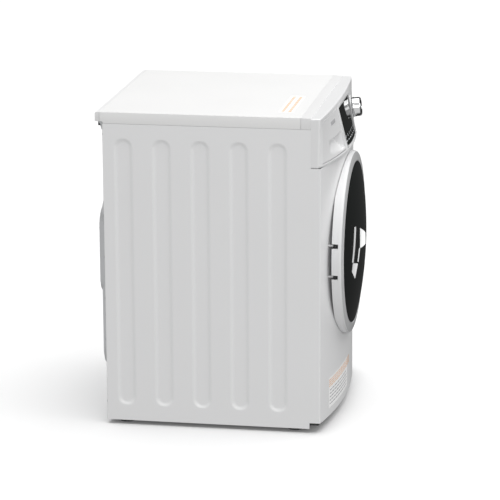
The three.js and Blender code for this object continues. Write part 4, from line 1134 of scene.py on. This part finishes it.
class WASHER_OT_display(bpy.types.Operator):
    """Display: black window, its raised frame and printed touch marks"""
    bl_idname = "washer.display"
    bl_label = "Display"

    def execute(self, context):
        """A bowed block, a strip carried round its outline, and small bars and rings lying on it."""
        lo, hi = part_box("display_window")
        window = bowed_block(lo.x, hi.x, lo.z, hi.z, 0.0006, hi.y, 0.0012, step=0.01)
        build("display_glass", window, "black_glass", "cabinet", ("display_window",),
              inside=((lo.x + hi.x) / 2, hi.y - 0.008, (lo.z + hi.z) / 2))
        outline = rounded_outline(lo.x - 0.001, hi.x - 0.0015, lo.z + 0.0015, hi.z - 0.0045, 0.0015)
        section = [(-0.0001, 0.002), (-0.0001, -0.0008), (0.0006, -0.0016), (0.0034, -0.0016),
                   (0.0046, -0.0006), (0.005, 0.0006)]
        build("display_frame", [moulding(outline, section)], "door_silver", "cabinet",
              inside=((lo.x + hi.x) / 2, FRONT + 0.2, (lo.z + hi.z) / 2))
        marks = []
        width = hi.x - lo.x
        for k in range(7):
            x = lo.x + width * (0.09 + 0.137 * k)
            for x0, x1, z, _ in print_bars(x - 0.007, x + 0.007, lo.z + 0.011, 0.0022, 3 + k, gap=0.0015):
                marks.append(front_grids(np.linspace(x0, x1, 3), np.array([z, z + 0.0022]), -0.0004))
            turned = np.linspace(0, 2 * math.pi, 21)[:, None]
            ring = np.array([0.0024, 0.0036])
            rx, rz = x + ring * np.cos(turned), lo.z + 0.024 + ring * np.sin(turned)
            marks.append(np.stack([rx, bow(rx, rz) + 0.0004, rz], -1))
        build("display_marks", marks, "pale_ink", "cabinet", inside=(0, FRONT + 0.3, 0.78))
        return {"FINISHED"}


class WASHER_OT_knob(bpy.types.Operator):
    """Program knob with its collar and pointer, and the printed scale round it"""
    bl_idname = "washer.knob"
    bl_label = "Program knob"

    def execute(self, context):
        """Turned profiles about the knob's own axis, which stands square to the bowed panel."""
        turn = joint("program_knob_turn")
        axis = np.array(turn["axis"], float)
        axis /= np.linalg.norm(axis)
        x0, z0 = turn["pos_m"][0], turn["pos_m"][2]
        face = np.array(turn["pos_m"], float)
        base = face + axis * (face[1] - float(bow(np.array(x0), np.array(z0)))) / -axis[1]
        radius, top = 0.027, 0.0268
        body = capped(fillet([
            (radius - 0.0022, 0.0033), (radius, 0.0045), (radius, 0.0085), (radius - 0.0008, 0.0095),
            (radius - 0.0014, top - 0.003), (radius - 0.0042, top), (radius - 0.0065, top - 0.0002),
            (radius - 0.0075, top - 0.0014),
        ], (0, 0.0008, 0.0008, 0.0008, 0.002, 0.0015, 0.0006, 0), steps=5))
        body[-1, 1] -= 0.0008
        build("knob_body", [lathe_about(body, base, axis, 128)], "chrome", "knob",
              ("program_knob",), inside=base + axis * 0.012)
        up = np.array([0, 0, 1.0]) - axis * axis[2]
        up /= np.linalg.norm(up)
        side = np.cross(up, axis)
        bar = rounded_box((-0.0009, 0.010, top - 0.0022), (0.0009, 0.0185, top - 0.0008), 0.0004)
        bar = [base + g[..., :1] * side + g[..., 1:2] * up + g[..., 2:] * axis for g in bar]
        build("knob_pointer", bar, "black_plastic", "knob")
        collar = fillet([(0.006, 0.0004), (0.0262, 0.0004), (0.0262, 0.0022), (0.0285, 0.0026),
                         (0.0318, 0.0016), (0.0334, -0.0006), (0.031, -0.003), (0.006, -0.003)],
                        0.0006, steps=4, closed=True)
        build("knob_collar", [lathe_about(looped(collar), base, axis, 96)], "door_silver", "cabinet")
        marks = []
        for k in range(16):
            a = (k + 0.5) * 2 * math.pi / 16
            long = 0.0022 if k % 2 else 0.0034
            out = np.array([math.cos(a), math.sin(a)])
            tick = np.array([[(-out[1] * w + out[0] * r, out[0] * w + out[1] * r)
                              for w in (-0.0005, 0.0005)] for r in (0.0375, 0.0375 + long)])
            x, z = x0 + tick[..., 0], z0 + tick[..., 1]
            marks.append(np.stack([x, bow(x, z) - 0.0002, z], -1))
        build("knob_scale", marks, "grey_ink", "cabinet", inside=(0, FRONT + 0.3, 0.78))
        return {"FINISHED"}


class WASHER_OT_filter_flap(bpy.types.Operator):
    """Flap over the drain filter"""
    bl_idname = "washer.filter_flap"
    bl_label = "Filter flap"

    def execute(self, context):
        """A bowed block with a small finger notch eased into its upper edge. Its lower edge slopes back, so
        that it clears the panel when the flap is down."""
        lo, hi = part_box("filter_flap")
        middle = (lo.x + hi.x) / 2
        notch_half, notch_middle, notch_reach, notch_depth = 0.016, 0.004, 0.009, 0.0012
        slope_height, slope_depth = 0.007, 0.0034

        def dig(x, z):
            """A shallow oval notch, and the slope along the lower edge."""
            distance = np.hypot((x - middle) / notch_half, (z - hi.z + notch_middle) / notch_reach)
            slope = np.clip((lo.z + slope_height - z) / slope_height, 0, 1)
            return notch_depth * ease((1 - distance) / 0.35) + slope_depth * slope

        grids = bowed_block(lo.x, hi.x, lo.z, hi.z, 0, lambda x, z: bow(x, z) + 0.0042, 0.0006,
                            dig=dig, step=0.0025)
        build("flap_cover", grids, "white_plastic", "flap", ("filter_flap",),
              inside=(middle, float(bow(np.array(middle), np.array(0.1))) + 0.001, (lo.z + hi.z) / 2))
        return {"FINISHED"}


# ---- labels ------------------------------------------------------------------------------

class WASHER_OT_labels(bpy.types.Operator):
    """Plain labels on the front and the worktop, with generic printed rows"""
    bl_idname = "washer.labels"
    bl_label = "Labels"

    def execute(self, context):
        """Thin sheets over the bow or the worktop; printed rows are bars of a fixed sine sequence."""
        strips = [front_grids(np.linspace(x0, x1, 4), np.array([z0, z1]), 0.0005)
                  for row in range(4)
                  for x0, x1, z0, z1 in print_bars(-0.228, 0.018, 0.107 + 0.0058 * row, 0.0034, 9 * row + 1)]
        build("front_label_strip", strips, "orange_ink", "cabinet", inside=(0, 0.3, 0.1))
        sheet = front_grids(spread(-0.23, -0.018, step=0.02), np.array([0.049, 0.09, 0.132]), 0.0003)
        build("front_label", [sheet], "label_paper", "cabinet", inside=(0, 0.3, 0.1))
        rows = []
        for row in range(5):
            for x0, x1, z0, z1 in print_bars(-0.222, -0.03, 0.0955 - 0.0095 * row, 0.0034, 7 * row + 2):
                rows.append(front_grids(np.linspace(x0, x1, 4), np.array([z0, z1]), 0.0005))
        build("front_label_rows", rows, "grey_ink", "cabinet", inside=(0, 0.3, 0.1))
        bars = []
        top = LID_TOP + 0.00025
        for row in range(2):
            start = FRONT + 0.088 + 0.018 * row
            for x0, x1, y0, y1 in print_bars(-0.228, -0.025, start, 0.008, 11 * row + 4):
                x, y = np.meshgrid((x0, x1), (y0, y1), indexing="ij")
                bars.append(np.stack([x, y, np.full_like(x, top + 0.0001)], -1))
        build("worktop_label_rows", bars, "orange_ink", "cabinet", inside=(0, 0, 0.5))
        x, y = np.meshgrid((-0.236, -0.016), (FRONT + 0.082, FRONT + 0.12), indexing="ij")
        film = np.stack([x, y, np.full_like(x, top)], -1)
        build("worktop_label", [film], "label_paper", "cabinet", inside=(0, 0, 0.5))
        return {"FINISHED"}


# ---- everything that keeps its frame shape -----------------------------------------------

KEPT = {
    "galvanised": ("rear_panel", "top_crossbar"),
    "inner_plastic": ("control_module", "drawer_tray", "drawer_housing", "door_lock", "pump_filter"),
    "tub_plastic": ("tub_front", "tub_rear", "drain_pump"),
    "weight": ("counterweight_front", "counterweight_top"),
    "steel": ("heater", "drum_bearing_front", "drum_bearing_rear", "motor_pulley", "tub_spring_left",
              "tub_spring_right", "damper_rod_left", "damper_rod_right"),
    "alloy": ("drum_spider", "drum_pulley", "motor"),
    # base_pan takes the black finish as painted shade, for the dark gap under the cabinet.
    "black_plastic": ("base_pan", "damper_tube_left", "damper_tube_right", "inlet_valve", "power_inlet"),
    "black_rubber": ("drive_belt", "sump_hose", "fill_hose", "inlet_hose"),
    "grey_rubber": ("drain_hose",),
}


class WASHER_OT_kept_parts(bpy.types.Operator):
    """Finishes for the inner parts that keep their frame shape"""
    bl_idname = "washer.kept_parts"
    bl_label = "Inner parts"

    def execute(self, context):
        """Each frame node takes the finish that KEPT lists it under."""
        for slot, nodes in KEPT.items():
            repaint(nodes, paint(SLOT_FINISH.get(slot, slot)))
        return {"FINISHED"}


# ---- stage -------------------------------------------------------------------------------

CAMERA_WHITE = 1.08                             # strength of the sky where the camera sees it
WINDOW_GLOW = 1.6                               # strength of the windows that the door reflects
FLOOR_REACH = 60                                # half the floor's side


def studio_sky(stage):
    """Even white surround, brighter on the side of the camera: strength = low + (high - low) share, where
    share rises with the direction's leftward part. Reflections see only the bright side, and the camera
    sees plain white."""
    world = bpy.data.worlds.new("sky")
    world.use_nodes = True
    tree = world.node_tree
    link = tree.links.new
    place = node(tree, "ShaderNodeTexCoord")
    split = node(tree, "ShaderNodeSeparateXYZ")
    link(place.outputs["Generated"], split.inputs[0])
    path = node(tree, "ShaderNodeLightPath")
    strengths = []
    for weakest, strongest, start, end in (
        (stage.sky * 0.85, stage.sky * 1.1, 1.0, -1.0),
        (0.045, stage.reflection, 0.1, -0.45),
    ):
        share = node(tree, "ShaderNodeMapRange", interpolation_type="SMOOTHSTEP")
        share.inputs["From Min"].default_value = start
        share.inputs["From Max"].default_value = end
        share.inputs["To Min"].default_value = weakest
        share.inputs["To Max"].default_value = strongest
        link(split.outputs["X"], share.inputs["Value"])
        strengths.append(share.outputs[0])
    choose = node(tree, "ShaderNodeMix", data_type="FLOAT")
    link(path.outputs["Is Glossy Ray"], choose.inputs["Factor"])
    link(strengths[0], choose.inputs["A"])
    link(strengths[1], choose.inputs["B"])
    seen = node(tree, "ShaderNodeMix", data_type="FLOAT")
    link(path.outputs["Is Camera Ray"], seen.inputs["Factor"])
    link(choose.outputs["Result"], seen.inputs["A"])
    seen.inputs["B"].default_value = CAMERA_WHITE
    link(seen.outputs["Result"], tree.nodes["Background"].inputs["Strength"])
    tree.nodes["Background"].inputs["Color"].default_value = (1, 1, 1, 1)
    return world


class WASHER_OT_stage(bpy.types.Operator):
    """Camera, floor, sky and soft lights"""
    bl_idname = "washer.stage"
    bl_label = "Stage"

    def execute(self, context):
        """The camera stands at an azimuth and a height round its target; its up vector is rolled a little."""
        stage = context.scene.washer_stage
        azimuth, rise, roll = stage.azimuth, stage.elevation, stage.roll
        level = math.cos(rise)
        back = Vector((math.sin(azimuth) * level, -math.cos(azimuth) * level, math.sin(rise)))
        right = Vector((0, 0, 1)).cross(back).normalized()
        up = back.cross(right)
        rolled = right * math.cos(roll) + up * math.sin(roll)
        top = up * math.cos(roll) - right * math.sin(roll)
        data = bpy.data.cameras.new("camera")
        data.lens, data.sensor_width = stage.lens, 36
        data.clip_end = 60
        camera = bpy.data.objects.new("camera", data)
        place = Vector(stage.target) + back * stage.distance
        camera.matrix_world = Matrix((rolled, top, back)).transposed().to_4x4()
        camera.location = place
        context.scene.collection.objects.link(camera)
        context.scene.camera = camera

        mesh = bpy.data.meshes.new("floor")
        corners = [(FLOOR_REACH * x, FLOOR_REACH * y, 0) for x, y in ((-1, -1), (1, -1), (1, 1), (-1, 1))]
        mesh.from_pydata(corners, [], [(0, 1, 2, 3)])
        floor = bpy.data.objects.new("floor", mesh)
        context.scene.collection.objects.link(floor)
        ground = finish("floor", (0.86, 0.86, 0.86), 0.75, drift=0.0, speckle=0.004, dust=0.0, relief=0.01,
                        Emission_Color=(1, 1, 1, 1), Emission_Strength=stage.floor_glow)
        mesh.materials.append(ground)
        floor.visible_glossy = False
        floor.visible_diffuse = False

        context.scene.world = studio_sky(stage)
        for name, place, aim, size, power in (
            ("side light", (-4.4, -1.2, 1.8), (0, 0, 0.4), (3.0, 2.4), stage.side_light),
            ("front light", (-0.5, -4.4, 2.4), (0, 0, 0.4), (2.4, 2.0), stage.front_light),
        ):
            lamp = bpy.data.lights.new(name, "AREA")
            lamp.shape = "RECTANGLE"
            lamp.size, lamp.size_y = size
            lamp.energy = power
            light = bpy.data.objects.new(name, lamp)
            light.location = place
            light.rotation_euler = (Vector(aim) - Vector(place)).to_track_quat("-Z", "Y").to_euler()
            context.scene.collection.objects.link(light)
        lamp = bpy.data.lights.new("overhead light", "SUN")
        lamp.energy = stage.top_light
        lamp.angle = math.radians(70)
        light = bpy.data.objects.new("overhead light", lamp)
        light.rotation_euler = Vector(stage.top_lean).to_track_quat("Z", "Y").to_euler()
        context.scene.collection.objects.link(light)
        cards = (
            ((-0.765, 0.26), (-0.715, 0.26), (-0.755, 0.09), (-0.80, 0.09)),
            ((-0.59, 0.25), (-0.36, 0.227), (-0.33, 0.187), (-0.575, 0.165)),
            ((-0.61, 0.165), (-0.575, 0.165), (-0.595, 0.105), (-0.63, 0.105)),
            ((-0.77, 0.088), (-0.61, 0.098), (-0.65, 0.026), (-0.773, 0.045)),
        )
        mesh = bpy.data.meshes.new("window cards")
        corners = [(1.0, y, z) for card in cards for y, z in card]
        mesh.from_pydata(corners, [], [tuple(range(4 * k, 4 * k + 4)) for k in range(len(cards))])
        panes = bpy.data.objects.new("window_cards", mesh)
        context.scene.collection.objects.link(panes)
        shine = finish("window cards", (0.9, 0.9, 0.9), 0.9, drift=0.0, speckle=0.0, dust=0.0,
                       Emission_Color=(1, 1, 1, 1), Emission_Strength=WINDOW_GLOW)
        mesh.materials.append(shine)
        panes.visible_camera = False
        panes.visible_diffuse = False
        panes.visible_shadow = False
        panes.visible_transmission = False
        context.scene.view_settings.view_transform = "Standard"
        return {"FINISHED"}


# ---- settings, panel and registration ----------------------------------------------------

class WASHER_PG_sizes(bpy.types.PropertyGroup):
    """Sizes that a maker would change"""
    bow_top: FloatProperty(name="Bulge at the top", description="Bulge of the control panel's upper edge",
                           default=0.0105, unit="LENGTH")
    rib_depth: FloatProperty(name="Channel depth", description="How far a channel is pressed in",
                             default=0.004, unit="LENGTH")
    rib_width: FloatProperty(name="Channel width", description="Width of a pressed channel", default=0.05,
                             unit="LENGTH")
    rib_slope: FloatProperty(name="Channel slope", description="Width of a channel's sloping edge",
                             default=0.009, unit="LENGTH")
    rib_first: FloatProperty(name="First channel", description="First channel's middle, behind the front",
                             default=0.112, unit="LENGTH")
    rib_pitch: FloatProperty(name="Channel pitch", description="From one channel to the next",
                             default=0.102, unit="LENGTH")
    rib_foot: FloatProperty(name="Channel foot", description="Height of the channels' lower ends",
                            default=0.054, unit="LENGTH")
    rib_head: FloatProperty(name="Channel head", description="Height of the channels' upper ends",
                            default=0.782, unit="LENGTH")
    corner_round: FloatProperty(name="Corner round", description="Round of the front panel's upright corners",
                                default=0.005, unit="LENGTH")
    porthole: FloatProperty(name="Porthole", description="Radius of the opening in the front panel",
                            default=0.205, unit="LENGTH")


class WASHER_PG_colours(bpy.types.PropertyGroup):
    """Colours that a maker would change"""
    enamel: FloatVectorProperty(name="Enamel", description="Powder coat of the cabinet", subtype="COLOR",
                                default=(0.92, 0.922, 0.925))
    plastic: FloatVectorProperty(name="Mouldings", description="White plastic of panel, drawer and door",
                                 subtype="COLOR", default=(0.88, 0.882, 0.885))
    glass: FloatVectorProperty(name="Tinted glass", description="Door glass and display", subtype="COLOR",
                               default=(0.011, 0.0135, 0.0125))
    label: FloatVectorProperty(name="Label print", description="Warm print on the labels", subtype="COLOR",
                               default=(0.9, 0.62, 0.45))


class WASHER_PG_stage(bpy.types.PropertyGroup):
    """Camera and light"""
    azimuth: FloatProperty(name="Azimuth", description="Camera's turn from straight ahead",
                           default=math.radians(-80.05), subtype="ANGLE")
    elevation: FloatProperty(name="Elevation", description="Camera's angle above the floor",
                             default=math.radians(14.58), subtype="ANGLE")
    roll: FloatProperty(name="Roll", description="Camera's lean", default=math.radians(-0.28),
                        subtype="ANGLE")
    distance: FloatProperty(name="Distance", description="From the target to the camera", default=7.149,
                            unit="LENGTH")
    lens: FloatProperty(name="Lens", description="Focal length in millimetres", default=188.66)
    target: FloatVectorProperty(name="Target", description="Point the camera looks at", subtype="XYZ",
                                default=(0, -0.02279, 0.41599))
    sky: FloatProperty(name="Sky", description="Strength of the even white surround", default=0.46)
    reflection: FloatProperty(name="Reflection", description="What glossy surfaces see on the bright side",
                              default=0.65)
    floor_glow: FloatProperty(name="Floor glow", description="Light added by the floor", default=0.06)
    top_light: FloatProperty(name="Overhead light", description="Watts per square metre", default=2.45)
    top_lean: FloatVectorProperty(name="Overhead lean", description="Towards the overhead light",
                                  subtype="DIRECTION", default=(0.08, -0.12, 1.0))
    side_light: FloatProperty(name="Side light", description="Power in watts", default=26)
    front_light: FloatProperty(name="Front light", description="Power in watts", default=27)


PIECES = (
    WASHER_OT_side_panels, WASHER_OT_front_panel, WASHER_OT_control_panel, WASHER_OT_worktop,
    WASHER_OT_rear_cover, WASHER_OT_feet, WASHER_OT_door, WASHER_OT_seal, WASHER_OT_drum, WASHER_OT_drawer,
    WASHER_OT_display, WASHER_OT_knob, WASHER_OT_filter_flap, WASHER_OT_labels, WASHER_OT_kept_parts,
    WASHER_OT_stage,
)


class WASHER_PT_pieces(bpy.types.Panel):
    """Lists the washing machine's pieces and settings"""
    bl_idname = "WASHER_PT_pieces"
    bl_label = "Washing machine"
    bl_space_type = "VIEW_3D"
    bl_region_type = "UI"
    bl_category = "Washer"

    def draw(self, context):
        """One button for each piece, then the settings."""
        for piece in PIECES:
            self.layout.operator(piece.bl_idname)
        for group in (context.scene.washer_sizes, context.scene.washer_colours, context.scene.washer_stage):
            for key in group.__annotations__:
                self.layout.prop(group, key)


SETTINGS = {
    "washer_sizes": WASHER_PG_sizes,
    "washer_colours": WASHER_PG_colours,
    "washer_stage": WASHER_PG_stage,
}
CLASSES = (*SETTINGS.values(), *PIECES, WASHER_PT_pieces)


def register():
    """Registers the settings, the operators and the panel."""
    for cls in CLASSES:
        bpy.utils.register_class(cls)
    for key, group in SETTINGS.items():
        setattr(bpy.types.Scene, key, bpy.props.PointerProperty(type=group))


def unregister():
    """Takes everything back out."""
    for key in SETTINGS:
        delattr(bpy.types.Scene, key)
    for cls in reversed(CLASSES):
        bpy.utils.unregister_class(cls)


def main():
    """Builds every piece in order."""
    register()
    bpy.ops.washer.stage()
    for piece in PIECES[:-1]:
        group, name = piece.bl_idname.split(".")
        getattr(getattr(bpy.ops, group), name)()


if __name__ == "__main__":
    main()
